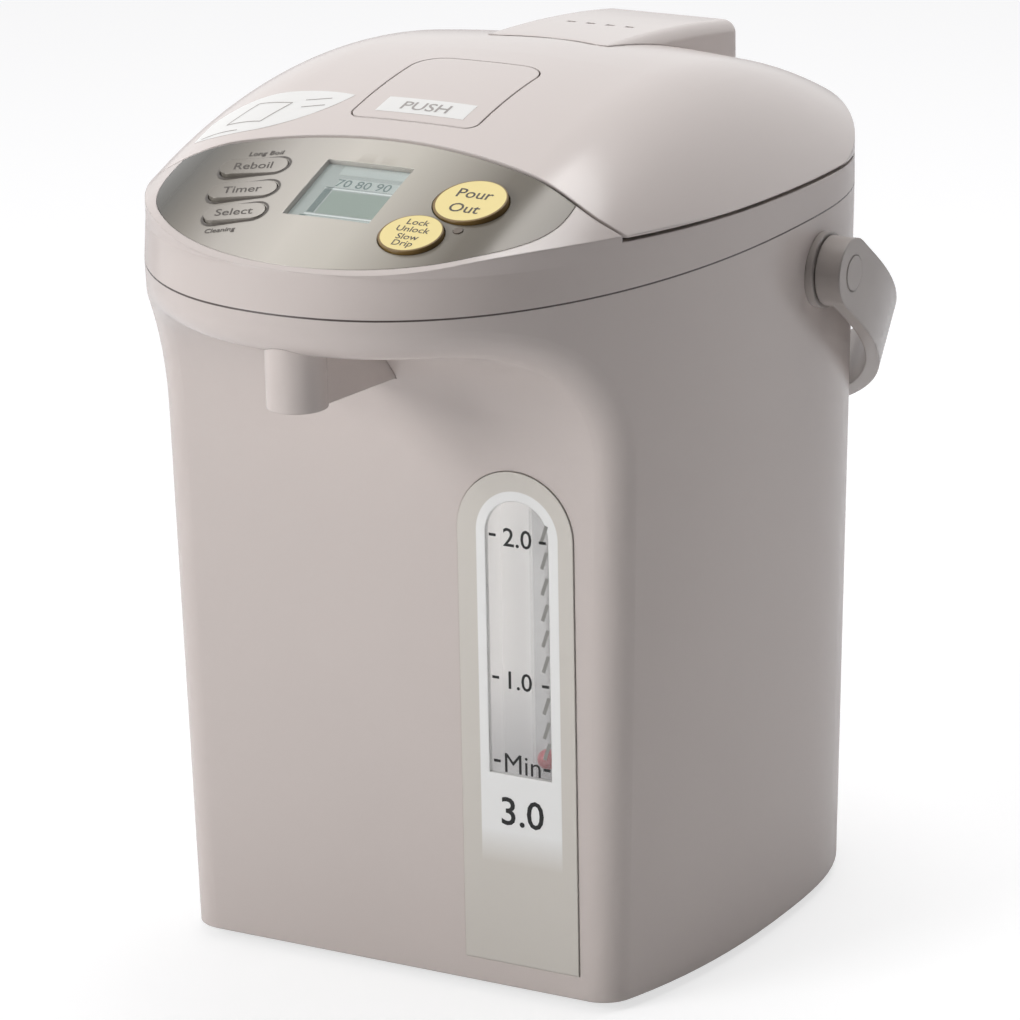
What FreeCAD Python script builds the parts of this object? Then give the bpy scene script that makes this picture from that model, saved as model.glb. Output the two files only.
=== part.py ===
import FreeCAD, Part
import math
import os
import re

V = FreeCAD.Vector
doc = FreeCAD.newDocument("ThermoPot")

# Driving sizes, millimetres and degrees. X is right, the front looks to -Y, Z is up.
SIZES = [
    # body outline
    ("body_half_width", 104.0), ("base_half_width", 98.6), ("widest_y", 26.5),
    ("front_reach", 149.5), ("rear_reach", 129.3), ("front_face_reach", 79.5),
    ("body_bottom", 3.5), ("seam_height", 251.5), ("lip_height", 236.0), ("bite_radius", 47.0),
    ("wall", 2.2), ("corner_radius", 12.0), ("beak_lean", 8.5), ("beak_rise", 12.0),
    # domed top
    ("dome_height", 303.0), ("dome_long_radius", 259.0), ("dome_centre_y", 10.0),
    ("crown_radius", 610.0), ("crown_half_width", 54.0), ("shoulder_radius", 60.0),
    ("split_height", 264.4), ("split_slope", 2.3), ("lid_gap", 1.2), ("lid_front_gap", 1.6),
    ("lid_wall", 2.4),
    ("panel_rear_y", -71.0), ("lid_rear_y", 127.0),
    # control panel
    ("deck_long_radius", 900.0), ("panel_tip_y", -88.0), ("panel_half_width", 73.5),
    ("panel_depth", 50.5), ("panel_thickness", 2.0), ("panel_tilt", 20.6),
    ("button_travel", 0.8), ("button_gap", 0.35), ("board_depth", 12.0),
    ("board_thickness", 1.6), ("display_width", 32.0), ("display_length", 32.0),
    # container and water path
    ("container_y", 25.0), ("container_radius", 77.0), ("container_wall", 1.0), ("container_bottom", 62.0),
    ("mouth_radius", 64.0), ("neck_clearance", 0.3), ("plug_clearance", 2.4), ("plug_depth", 9.0),
    ("recess_floor", 258.0), ("gasket_height", 1.5), ("gasket_reach", 6.2),
    ("shield_clearance", 5.0), ("shield_thickness", 0.6), ("shield_bottom", 60.0), ("shield_height", 195.8),
    ("band_rise", 14.0), ("band_height", 25.0), ("band_thickness", 2.0), ("fit", 0.1),
    ("plate_inset", 17.0), ("plate_thickness", 4.9), ("thermostat_radius", 8.0), ("thermostat_height", 8.0),
    ("spout_y", -135.0), ("spout_radius", 10.0), ("spout_bottom", 217.5), ("spout_bore", 5.0),
    ("pump_y", -20.0), ("pump_radius", 22.0), ("pump_bottom", 34.0), ("pump_height", 16.0),
    ("motor_radius", 17.0), ("motor_bottom", 12.0), ("hose_radius", 5.5), ("hose_bore", 3.5),
    # gauge
    ("gauge_x", 48.0), ("gauge_half_width", 21.5), ("gauge_bottom", 12.0), ("gauge_top", 186.0),
    ("gauge_panel_depth", 1.2), ("window_x", 48.75), ("window_half_width", 11.75), ("window_bottom", 80.0),
    ("window_top", 176.0), ("gauge_tube_x", 54.0), ("gauge_tube_y", -70.6), ("gauge_tube_radius", 5.0),
    ("gauge_tube_bore", 4.0), ("float_radius", 3.5), ("float_rest", 84.0),
    # handle
    ("pivot_y", 37.0), ("pivot_z", 232.0), ("pivot_radius", 5.0), ("pivot_play", 0.06), ("hub_radius", 12.0),
    ("handle_outer", 116.0), ("handle_thickness", 5.0), ("handle_reach", 130.0), ("handle_width", 24.0),
    ("handle_drop", 36.0), ("hub_start", 107.0),
    # hinge and lever
    ("hinge_y", 126.0), ("hinge_z", 282.0), ("hinge_pin_radius", 2.0), ("tower_half_width", 10.5),
    ("hood_half_width", 27.0), ("hood_rear", 133.0), ("hood_front", 38.0), ("hood_front_top", 301.3),
    ("hood_middle_y", 86.0), ("hood_middle_top", 298.0), ("hood_rear_top", 291.6), ("hood_bottom", 270.0),
    ("lever_half_width", 23.5), ("lever_front", -58.0), ("lever_rear", -5.0), ("lever_thickness", 3.0),
    ("lever_front_corner", 4.0), ("lever_rear_corner", 10.0), ("lever_pin_radius", 1.5),
    ("lever_pin_half", 19.5),
    ("lever_pin_y", -34.0), ("lever_pin_depth", 8.0), ("lever_gap", 0.6),
    # feet, electrics
    ("foot_radius", 9.0), ("foot_seat", 1.0), ("foot_x", 62.0), ("foot_front_y", -58.0), ("foot_rear_y", 96.0),
    ("base_thickness", 5.0), ("inlet_half_width", 20.0), ("inlet_z", 40.0), ("inlet_half_height", 10.0),
    ("power_board_z", 18.0),
]

sheet = doc.addObject("Spreadsheet::Sheet", "Sizes")
for row, (word, number) in enumerate(SIZES, start=1):
    sheet.set("A%d" % row, word)
    sheet.set("B%d" % row, str(number))
    sheet.setAlias("B%d" % row, word)
doc.recompute()
WORDS = [word for word, number in SIZES]
S = {word: float(sheet.get(word)) for word in WORDS}


def bind(thing, prop, formula):
    """Tie one property to the sheet; the formula names sizes by their aliases."""
    named = re.sub(r"[a-z_]+", lambda m: "Sizes." + m.group(0) if m.group(0) in WORDS else m.group(0), formula)
    thing.setExpression(prop, named)


def seat(thing, x="0", y="0", z="0"):
    bind(thing, "Placement.Base.x", x)
    bind(thing, "Placement.Base.y", y)
    bind(thing, "Placement.Base.z", z)
    return thing


def box(name, length, width, height, x, y, z):
    """A block whose corner of least x, y and z is at the three places."""
    thing = doc.addObject("Part::Box", name)
    bind(thing, "Length", length)
    bind(thing, "Width", width)
    bind(thing, "Height", height)
    return seat(thing, x, y, z)


AXES = {"Z": FreeCAD.Rotation(), "X": FreeCAD.Rotation(V(0, 1, 0), 90)}


def cylinder(name, radius, height, x, y, z, axis="Z"):
    thing = doc.addObject("Part::Cylinder", name)
    bind(thing, "Radius", radius)
    bind(thing, "Height", height)
    thing.Placement = FreeCAD.Placement(V(0, 0, 0), AXES[axis])
    return seat(thing, x, y, z)


def cut(name, base, *tools):
    tool = tools[0]
    if len(tools) > 1:
        tool = fuse(name + "Tools", *tools)
    thing = doc.addObject("Part::Cut", name)
    thing.Base = base
    thing.Tool = tool
    return thing


def fuse(name, *parts):
    thing = doc.addObject("Part::MultiFuse", name)
    thing.Shapes = list(parts)
    return thing


def solid(name, shape, placement=None):
    """A piece whose curved form has no primitive."""
    thing = doc.addObject("Part::Feature", name)
    thing.Shape = shape
    if placement is not None:
        thing.Placement = placement
    return thing


nodes = []


def node(thing, label):
    thing.Label = label
    nodes.append(thing)
    return thing


# Shared forms.
# The outline seen from above is an egg of two superellipse halves, widest at widest_y.
FRONT_POWER = 2.25
LEANING_POWER = 2.4
REAR_POWER = 2.6
OUTLINE_STEPS = 6


def outline(half_width, front, rear, z, front_power=FRONT_POWER):
    points = []
    count = 4 * OUTLINE_STEPS
    for k in range(count):
        turn = 2 * math.pi * k / count
        across = math.sin(turn)
        along = math.cos(turn)
        power = REAR_POWER if along > 0 else front_power
        reach = rear if along > 0 else front
        x = half_width * math.copysign(abs(across) ** (2 / power), across)
        points.append(V(x, S["widest_y"] + reach * math.copysign(abs(along) ** (2 / power), along), z))
    curve = Part.BSplineCurve()
    curve.interpolate(Points=points, PeriodicFlag=True)
    return Part.Wire([curve.toShape()])


FRONT_DEPTH = S["front_reach"] + S["widest_y"]
REAR_DEPTH = S["rear_reach"] - S["widest_y"]
DRAFT = S["base_half_width"] / S["body_half_width"]


def tapered(inset, low, high):
    """The drafted body volume, drawn in by inset all round."""
    wires = []
    for z in (low, high):
        share = DRAFT + (1 - DRAFT) * (z - S["body_bottom"]) / (S["seam_height"] - S["body_bottom"])
        wires.append(outline(S["body_half_width"] * share - inset, FRONT_DEPTH * share - inset,
                             REAR_DEPTH * share - inset, z))
    return Part.makeLoft(wires, True, True)


def straight(inset, low, high):
    """The volume over the seam, drawn in by inset. Its front leans back as it rises from the seam,
    and grows squarer, so that a rim stays all round the panel."""
    knees = [S["seam_height"], S["seam_height"] + S["beak_rise"]]
    levels = [low] + [z for z in knees if low < z < high] + [high]
    wires = []
    for z in levels:
        share = min(max(z - S["seam_height"], 0) / S["beak_rise"], 1)
        wires.append(outline(S["body_half_width"] - inset,
                             FRONT_DEPTH - inset - share * S["beak_lean"], REAR_DEPTH - inset, z,
                             FRONT_POWER + share * (LEANING_POWER - FRONT_POWER)))
    return Part.makeLoft(wires, True, True)


FAR = 200.0


def bite(inset):
    """What the flat front face and the hollow under the beak leave out."""
    face_y = -S["front_face_reach"] + inset
    radius = S["bite_radius"] + inset
    centre = V(0, -S["front_face_reach"] - S["bite_radius"], S["lip_height"] - S["bite_radius"])
    side = V(-FAR, 0, 0)
    start = V(0, face_y, centre.z) + side
    end = V(0, centre.y, centre.z + radius) + side
    mid = centre + side + V(0, math.cos(math.pi / 4), math.sin(math.pi / 4)) * radius
    foot = V(0, face_y, -FAR) + side
    far_top = V(0, -2 * FAR, end.z) + side
    far_foot = V(0, -2 * FAR, -FAR) + side
    edges = [Part.makeLine(foot, start), Part.Arc(start, mid, end).toShape(), Part.makeLine(end, far_top),
             Part.makeLine(far_top, far_foot), Part.makeLine(far_foot, foot)]
    return Part.Face(Part.Wire(edges)).extrude(V(2 * FAR, 0, 0))


def rounded_body(inset, low, high):
    """Body volume with its front cut away and the cut's edges rounded."""
    raw = tapered(inset, low, high).cut(bite(inset))
    edges = []
    for edge in raw.Edges:
        kinds = [f.Surface.TypeId for f in raw.Faces if any(edge.isSame(e) for e in f.Edges)]
        on_side = any("BSpline" in kind for kind in kinds)
        on_cut = any("BSpline" not in kind for kind in kinds)
        level = edge.BoundBox.ZMax < low + 1 or edge.BoundBox.ZMin > high - 1
        if on_side and on_cut and not level:
            edges.append(edge)
    return raw.makeFillet(S["corner_radius"] - inset, edges)


DOME_AXIS = V(0, S["dome_centre_y"], S["dome_height"] - S["dome_long_radius"])
# The deck goes on from the lid in front of the panel's rear line with the same slope there.
LINE_LEAN = math.asin((S["dome_centre_y"] - S["panel_rear_y"]) / S["dome_long_radius"])
DECK_AXIS = DOME_AXIS + V(0, math.sin(LINE_LEAN), -math.cos(LINE_LEAN)) * (
    S["deck_long_radius"] - S["dome_long_radius"])


def barrel(inset, axis, long_radius):
    """A crowned section turned about a line along X."""
    crown = S["crown_radius"] - inset
    shoulder = S["shoulder_radius"] - inset
    turn = math.asin(S["crown_half_width"] / S["crown_radius"])
    top = axis.z + long_radius - inset
    knee_x = crown * math.sin(turn)
    knee_z = top - crown * (1 - math.cos(turn))
    centre_x = knee_x - shoulder * math.sin(turn)
    centre_z = knee_z - shoulder * math.cos(turn)
    half = (math.pi / 2 - turn) / 2
    axis_z = axis.z
    y = axis.y
    edges = [Part.Arc(V(-knee_x, y, knee_z), V(0, y, top), V(knee_x, y, knee_z)).toShape()]
    for side in (1, -1):
        a = V(side * knee_x, y, knee_z)
        b = V(side * (centre_x + shoulder * math.cos(half)), y, centre_z + shoulder * math.sin(half))
        c = V(side * (centre_x + shoulder), y, centre_z)
        edges.append(Part.Arc(a, b, c).toShape())
        edges.append(Part.makeLine(c, V(c.x, y, axis_z)))
    edges.append(Part.makeLine(V(-centre_x - shoulder, y, axis_z), V(centre_x + shoulder, y, axis_z)))
    face = Part.Face(Part.Wire(Part.sortEdges(edges)[0]))
    return face.revolve(axis, V(1, 0, 0), 360)


def dome(inset):
    """The barrel whose outside is the lid's domed top."""
    return barrel(inset, DOME_AXIS, S["dome_long_radius"])


def deck(inset):
    """The flatter barrel whose outside is the top of the beak and the panel."""
    return barrel(inset, DECK_AXIS, S["deck_long_radius"])


def barrel_z(x, y, axis, long_radius):
    """Height of a barrel's outside over a place."""
    turn = math.asin(S["crown_half_width"] / S["crown_radius"])
    centre_x = S["crown_half_width"] - S["shoulder_radius"] * math.sin(turn)
    if abs(x) <= S["crown_half_width"]:
        drop = S["crown_radius"] - math.sqrt(S["crown_radius"] ** 2 - x * x)
    else:
        below = S["crown_radius"] * (1 - math.cos(turn)) + S["shoulder_radius"] * math.cos(turn)
        drop = below - math.sqrt(S["shoulder_radius"] ** 2 - (abs(x) - centre_x) ** 2)
    return axis.z + math.sqrt((long_radius - drop) ** 2 - (y - axis.y) ** 2)


def dome_z(x, y):
    return barrel_z(x, y, DOME_AXIS, S["dome_long_radius"])


def deck_z(x, y):
    return barrel_z(x, y, DECK_AXIS, S["deck_long_radius"])


def above_split(lift):
    """Everything over the tilted plane on which the lid closes."""
    block = Part.makeBox(2 * FAR, 2 * FAR, FAR, V(-FAR, -FAR, 0))
    block.Placement = FreeCAD.Placement(V(0, 0, S["split_height"] + lift),
                                        FreeCAD.Rotation(V(1, 0, 0), -S["split_slope"]))
    return block


# Half of the line between panel and lid: distance from the middle, and how far it bends forward.
REAR_LINE = [(0.0, 0.0), (30.0, 2.0), (58.0, 7.2), (71.0, 10.2), (80.0, 10.6), (90.0, 6.5), (112.0, -6.0)]


def panel_rear(grow):
    """Upright prism of all that lies in front of the line between panel and lid."""
    half = [V(x, S["panel_rear_y"] - bend + grow, 0) for x, bend in REAR_LINE]
    points = [V(-p.x, p.y, 0) for p in reversed(half[1:])] + half
    curve = Part.BSplineCurve()
    curve.interpolate(points)
    corners = [points[-1], V(points[-1].x, -2 * FAR, 0), V(points[0].x, -2 * FAR, 0), points[0]]
    return Part.Face(Part.Wire([curve.toShape()] + Part.makePolygon(corners).Edges)).extrude(V(0, 0, 2 * FAR))


def oval(half_x, half_y, low, high):
    """Upright prism of an ellipse about the origin."""
    edge = Part.Ellipse(V(0, 0, low), max(half_x, half_y), min(half_x, half_y)).toShape()
    if half_y > half_x:
        edge.rotate(V(0, 0, 0), V(0, 0, 1), 90)
    return Part.Face(Part.Wire([edge])).extrude(V(0, 0, high - low))


def lens(inset):
    """Upright prism of the control panel's outline."""
    half = S["panel_half_width"] - inset
    depth = S["panel_depth"] - inset
    front = oval(half, depth, 0, 2 * FAR)
    front.translate(V(0, S["panel_tip_y"], 0))
    room = Part.makeBox(2 * FAR, 2 * FAR, 2 * FAR, V(-FAR, S["panel_tip_y"] - 2 * FAR, 0))
    rear = Part.makeBox(2 * half, FAR, 2 * FAR, V(-half, S["panel_tip_y"], 0)).common(panel_rear(-inset))
    tips = Part.makeCylinder(half, 2 * FAR, V(0, S["panel_tip_y"], 0))
    return front.common(room).fuse(rear.common(tips)).removeSplitter()


def tube(points, radius, bore, bend):
    """A round pipe through the points, its corners arcs of the bend radius."""
    edges = []
    last = points[0]
    for i in range(1, len(points) - 1):
        into = (points[i] - points[i - 1]).normalize()
        out = (points[i + 1] - points[i]).normalize()
        turn = into.getAngle(out)
        back = bend * math.tan(turn / 2)
        a = points[i] - into * back
        b = points[i] + out * back
        middle = (out - into).normalize()
        centre = points[i] + middle * (bend / math.cos(turn / 2))
        edges.append(Part.makeLine(last, a))
        edges.append(Part.Arc(a, centre - middle * bend, b).toShape())
        last = b
    edges.append(Part.makeLine(last, points[-1]))
    path = Part.Wire(edges)
    first = (points[1] - points[0]).normalize()
    shapes = []
    for size in (radius, bore):
        ring = Part.Wire([Part.makeCircle(size, points[0], first)])
        shapes.append(path.makePipeShell([ring], True, False))
    return shapes[0].cut(shapes[1])


def arch(half_width, low, high, x, y_front, y_rear):
    """A plate with a round top, standing in the XZ plane."""
    spring = high - half_width
    a = V(x - half_width, y_front, low)
    b = V(x + half_width, y_front, low)
    c = V(x + half_width, y_front, spring)
    d = V(x - half_width, y_front, spring)
    edges = [Part.makeLine(a, b), Part.makeLine(b, c), Part.Arc(c, V(x, y_front, high), d).toShape(),
             Part.makeLine(d, a)]
    return Part.Face(Part.Wire(edges)).extrude(V(0, y_rear - y_front, 0))


# Volumes used by several pieces.
body_outside = rounded_body(0, S["body_bottom"], S["seam_height"])
FACE_Y = -S["front_face_reach"]
rear_line = panel_rear(0)
top_volume = dome(0).cut(rear_line).fuse(deck(0).common(rear_line))
head = straight(0, S["seam_height"], S["dome_height"] + 5).common(top_volume)
PUMP = V(0, S["pump_y"], S["pump_bottom"])

# Body shell, open at the bottom and at the top.
SPOUT_WEB_HALF = 9.0
SPOUT_WEB_REAR = -84.0
SPOUT_WEB_RISE = 215.0
SPOUT_TOP = S["lip_height"] + 8.0
SPOUT_PLAY = 0.25


def spout_form(grow):
    nozzle = Part.makeCylinder(S["spout_radius"] + grow, SPOUT_TOP - S["spout_bottom"],
                               V(0, S["spout_y"], S["spout_bottom"]))
    points = [V(-SPOUT_WEB_HALF - grow, S["spout_y"], S["spout_bottom"] + 1.0 - grow),
              V(-SPOUT_WEB_HALF - grow, SPOUT_WEB_REAR + grow, SPOUT_WEB_RISE - grow),
              V(-SPOUT_WEB_HALF - grow, SPOUT_WEB_REAR + grow, SPOUT_TOP),
              V(-SPOUT_WEB_HALF - grow, S["spout_y"], SPOUT_TOP)]
    web = Part.Face(Part.makePolygon(points + points[:1])).extrude(V(2 * (SPOUT_WEB_HALF + grow), 0, 0))
    return nozzle.fuse(web)


INLET_Y = 106.0
shell = body_outside.cut(rounded_body(S["wall"], S["body_bottom"] - 1, S["seam_height"] + 1))
shell = shell.cut(spout_form(SPOUT_PLAY))
shell = shell.cut(arch(S["gauge_half_width"] + 0.2, S["gauge_bottom"] - 0.2, S["gauge_top"] + 0.2, S["gauge_x"],
                       FACE_Y - 1, FACE_Y + S["gauge_panel_depth"]))
shell = shell.cut(arch(S["window_half_width"] + 2.0, S["window_bottom"] - 2.0, S["window_top"] + 2.0,
                       S["window_x"], FACE_Y - 1, FACE_Y + S["wall"] + 1))
PORT_PLAY = 0.2
port = Part.makeBox(2 * (S["inlet_half_width"] + PORT_PLAY), 60, 2 * (S["inlet_half_height"] + PORT_PLAY),
                    V(-S["inlet_half_width"] - PORT_PLAY, INLET_Y,
                      S["inlet_z"] - S["inlet_half_height"] - PORT_PLAY))
shell = shell.cut(port)
SPIGOT_RADIUS = 8.0
SPIGOT_PLAY = 0.15
shell = shell.cut(Part.makeCylinder(SPIGOT_RADIUS + SPIGOT_PLAY, 2 * FAR,
                                    V(-FAR, S["pivot_y"], S["pivot_z"]), V(1, 0, 0)))
node(solid("BodyShell", shell), "body_shell")

# Base cover: a dished plate inside the shell's bottom edge, with foot pockets and screw bosses.
BASE_PLAY = 0.3
slab = Part.makeBox(2 * FAR, 2 * FAR, S["base_thickness"], V(-FAR, -FAR, S["body_bottom"]))
well = Part.makeBox(2 * FAR, 2 * FAR, S["base_thickness"], V(-FAR, -FAR, S["body_bottom"] + 2.5))
base = rounded_body(S["wall"] + BASE_PLAY, S["body_bottom"] - 1, S["seam_height"]).common(slab)
base = base.cut(rounded_body(S["wall"] + BASE_PLAY + 3, S["body_bottom"] - 1, S["seam_height"]).common(well))
BASE_TOP = S["body_bottom"] + 2.5
FEET = [("front_left", -1, S["foot_front_y"]), ("front_right", 1, S["foot_front_y"]),
        ("rear_left", -1, S["foot_rear_y"]), ("rear_right", 1, S["foot_rear_y"])]
for name, side, y in FEET:
    base = base.cut(Part.makeCylinder(S["foot_radius"], S["foot_seat"], V(side * S["foot_x"], y, S["body_bottom"])))
POSTS = [(-76, -18), (-30, -18), (-76, 56), (-30, 56)]
POST_RADIUS = 3.2
for x, y in POSTS:
    base = base.fuse(Part.makeCylinder(POST_RADIUS, S["power_board_z"] - BASE_TOP, V(x, y, BASE_TOP)))
for angle in (45, 135, 225, 315):
    x = PUMP.x + (S["motor_radius"] + 4) * math.cos(math.radians(angle))
    y = PUMP.y + (S["motor_radius"] + 4) * math.sin(math.radians(angle))
    base = base.fuse(Part.makeCylinder(2.5, S["pump_bottom"] - BASE_TOP, V(x, y, BASE_TOP)))
node(solid("BaseCover", base), "base_cover")

# Rubber feet, each in its pocket under the base cover.
for name, side, y in FEET:
    pad = cylinder("Foot" + name.title().replace("_", ""), "foot_radius - 0.1", "body_bottom + foot_seat",
                   "%d * foot_x" % side, "foot_front_y" if "front" in name else "foot_rear_y", "0")
    node(pad, "foot_" + name)

# Upper frame: the ring with the beak, open for the mouth, the panel and the lid.
DECK = 256.0
PANEL_PLAY = 0.15
LEDGE = 4.0
LATCH_Z = 271.6
LATCH_HALF = 6.0
LATCH_HEIGHT = 2.8
LATCH_PLAY = 0.4
RECESS_PLAY = 2.4
COLLAR_RADIUS = S["mouth_radius"] + 6.6
RECESS_Z = S["recess_floor"]
PIN_PLAY = 0.06
lid_room = above_split(0).cut(panel_rear(0))
frame = head.cut(lid_room)
frame = frame.cut(lens(-PANEL_PLAY).cut(deck(S["panel_thickness"] + PANEL_PLAY)))
under = straight(S["wall"], S["seam_height"] - 1, DECK)
frame = frame.cut(under)
frame = frame.cut(lens(LEDGE).common(Part.makeBox(2 * FAR, FAR, FAR, V(-FAR, -FAR, S["seam_height"] - 1))))
frame = frame.cut(Part.makeCylinder(S["mouth_radius"] + S["container_wall"] + S["neck_clearance"], 60,
                                    V(0, S["container_y"], S["seam_height"] - 1)))
frame = frame.cut(Part.makeCylinder(COLLAR_RADIUS + RECESS_PLAY, 60, V(0, S["container_y"], RECESS_Z)))


def latch_form(front, rear, play):
    return Part.makeBox(2 * (LATCH_HALF + play), rear - front, LATCH_HEIGHT + 2 * play,
                        V(-LATCH_HALF - play, front, LATCH_Z - play))


frame = frame.cut(latch_form(S["panel_rear_y"] - 8, S["panel_rear_y"] + 8, LATCH_PLAY))
# Hinge tower at the back of the frame.
TOWER_FRONT = S["hinge_y"] - 7
TOWER_REAR = S["rear_reach"] - 0.5
PIN_EYE = 7.0
tower = Part.makeBox(2 * S["tower_half_width"], TOWER_REAR - TOWER_FRONT, S["hinge_z"] - DECK,
                     V(-S["tower_half_width"], TOWER_FRONT, DECK))
eye = Part.makeCylinder(PIN_EYE, 2 * S["tower_half_width"],
                        V(-S["tower_half_width"], S["hinge_y"], S["hinge_z"]), V(1, 0, 0))
pin_hole = Part.makeCylinder(S["hinge_pin_radius"] + PIN_PLAY, 2 * FAR,
                             V(-FAR, S["hinge_y"], S["hinge_z"]), V(1, 0, 0))
frame = frame.fuse(tower.fuse(eye).cut(pin_hole))
node(solid("UpperFrame", frame), "upper_frame")

# Spout with its bore, standing through the underside of the beak.
spout = spout_form(0)
spout = spout.cut(Part.makeCylinder(S["spout_bore"], FAR, V(0, S["spout_y"], S["spout_bottom"] - 1)))
spout = spout.cut(Part.makeCone(S["spout_radius"] - 2.2, S["spout_bore"], 7,
                                V(0, S["spout_y"], S["spout_bottom"] - 0.01)))
node(solid("Spout", spout), "spout_nozzle")

# Gauge on the front: panel, clear window, white backing, glass tube and float.
panel_front = FACE_Y - 0.5
panel_back = FACE_Y + S["gauge_panel_depth"]
gauge = arch(S["gauge_half_width"], S["gauge_bottom"], S["gauge_top"], S["gauge_x"], panel_front, panel_back)
gauge = gauge.cut(arch(S["window_half_width"], S["window_bottom"], S["window_top"], S["window_x"],
                       panel_front - 1, panel_back + 1))
node(solid("GaugePanel", gauge), "gauge_panel")
window_play = 0.1
WINDOW_BACK = FACE_Y + S["wall"]
pane = arch(S["window_half_width"] - window_play, S["window_bottom"] + window_play, S["window_top"] - window_play,
            S["window_x"], panel_front, panel_back)
flange = arch(S["window_half_width"] + 1.8, S["window_bottom"] - 1.8, S["window_top"] + 1.8,
              S["window_x"], panel_back, WINDOW_BACK)
node(solid("GaugeWindow", pane.fuse(flange)), "gauge_window")
# The backing is a white trough, open to the front, that the tube stands in.
BACK_FRONT = WINDOW_BACK + 0.1
TROUGH_WALL = 1.0
TROUGH_REAR = S["gauge_tube_y"] + S["gauge_tube_radius"] + 0.5
TROUGH_HALF = S["window_half_width"] + 3.5
trough = arch(TROUGH_HALF, S["window_bottom"] - 6, S["window_top"] + 4, S["window_x"],
              BACK_FRONT, TROUGH_REAR + TROUGH_WALL)
trough = trough.cut(arch(TROUGH_HALF - TROUGH_WALL, S["window_bottom"] - 6 + TROUGH_WALL,
                         S["window_top"] + 4 - TROUGH_WALL, S["window_x"], BACK_FRONT - 1, TROUGH_REAR))
trough = trough.cut(Part.makeCylinder(S["gauge_tube_radius"] + 0.1, FAR,
                                      V(S["gauge_tube_x"], S["gauge_tube_y"], 0)))
node(solid("GaugeBacking", trough), "gauge_backing")
TUBE_LOW = S["window_bottom"] - 10
TUBE_HIGH = S["window_top"] + 8
glass = cut("GaugeTube",
            cylinder("GaugeTubeOut", "gauge_tube_radius", "window_top - window_bottom + 18", "gauge_tube_x",
                     "gauge_tube_y", "window_bottom - 10"),
            cylinder("GaugeTubeIn", "gauge_tube_bore", "window_top - window_bottom + 20", "gauge_tube_x",
                     "gauge_tube_y", "window_bottom - 11"))
node(glass, "gauge_tube")
ball = doc.addObject("Part::Sphere", "FloatBall")
bind(ball, "Radius", "float_radius")
seat(ball, "gauge_tube_x", "gauge_tube_y", "float_rest")
node(ball, "float_ball")

# Control panel: a thin crowned lens in the beak.
PANEL_ORIGIN_Y = -104.0


def on_panel(x, y, turn=0.0):
    """Placement at a spot of the panel, its Z along the buttons' travel."""
    tilt = FreeCAD.Rotation(V(1, 0, 0), S["panel_tilt"])
    return FreeCAD.Placement(V(x, y, deck_z(x, y)), tilt.multiply(FreeCAD.Rotation(V(0, 0, 1), turn)))


def pill(half_length, half_width, low, high):
    straight_part = half_length - half_width
    block = Part.makeBox(2 * straight_part, 2 * half_width, high - low, V(-straight_part, -half_width, low))
    for side in (-1, 1):
        block = block.fuse(Part.makeCylinder(half_width, high - low, V(side * straight_part, 0, low)))
    return block.removeSplitter()


BUTTONS = [
    ("button_top", pill, 11.6, 4.3, -39.9, -91.5, 14.0),
    ("button_middle", pill, 11.6, 4.3, -36.5, -104.5, 16.0),
    ("button_bottom", pill, 10.3, 4.3, -32.6, -116.3, 17.0),
    ("button_pour", oval, 12.4, 11.7, 43.3, -96.3, 0.0),
    ("button_lock", oval, 10.8, 10.1, 32.6, -116.4, 0.0),
]
LAMP = (46.1, -110.1)
LAMP_RADIUS = 1.6
DISPLAY = (0.0, -99.3)
CAP_PROUD = 0.9
FLANGE_TOP = -S["panel_thickness"] - 1.6
FLANGE_REACH = 0.8
FLANGE_LOW = FLANGE_TOP - 1.2
SWITCH_TOP = -8.2
lens_plate = lens(0).common(deck(0)).cut(deck(S["panel_thickness"]))
board_place = on_panel(0, PANEL_ORIGIN_Y)


def display_block(half_x, half_y, low, high):
    block = Part.makeBox(2 * half_x, 2 * half_y, high - low, V(-half_x, -half_y, low))
    block.Placement = on_panel(*DISPLAY)
    return block


holes = [display_block(S["display_width"] / 2, S["display_length"] / 2, -10, 10)]
for name, form, half_length, half_width, x, y, turn in BUTTONS:
    hole = form(half_length + S["button_gap"], half_width + S["button_gap"], -10, 10)
    hole.Placement = on_panel(x, y, turn)
    holes.append(hole)
lamp_hole = Part.makeCylinder(LAMP_RADIUS + 0.1, 20, V(0, 0, -10))
lamp_hole.Placement = on_panel(*LAMP)
holes.append(lamp_hole)
for hole in holes:
    lens_plate = lens_plate.cut(hole)
node(solid("ControlPanel", lens_plate), "control_panel")

# Button caps, each with a retaining flange and a stem over its switch.
switch_bases = []
for name, form, half_length, half_width, x, y, turn in BUTTONS:
    place = on_panel(x, y, turn)
    spot = board_place.inverse().multVec(place.Base)
    stem_low = SWITCH_TOP + 0.3 + S["button_travel"] - spot.z
    cap = form(half_length, half_width, FLANGE_LOW, CAP_PROUD)
    cap = cap.fuse(form(half_length + FLANGE_REACH, half_width + FLANGE_REACH, FLANGE_LOW, FLANGE_TOP))
    cap = cap.fuse(Part.makeCylinder(1.6, FLANGE_LOW - stem_low, V(0, 0, stem_low)))
    node(solid(name.title().replace("_", ""), cap, place), name)
    switch_bases.append((spot.x, spot.y))

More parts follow.
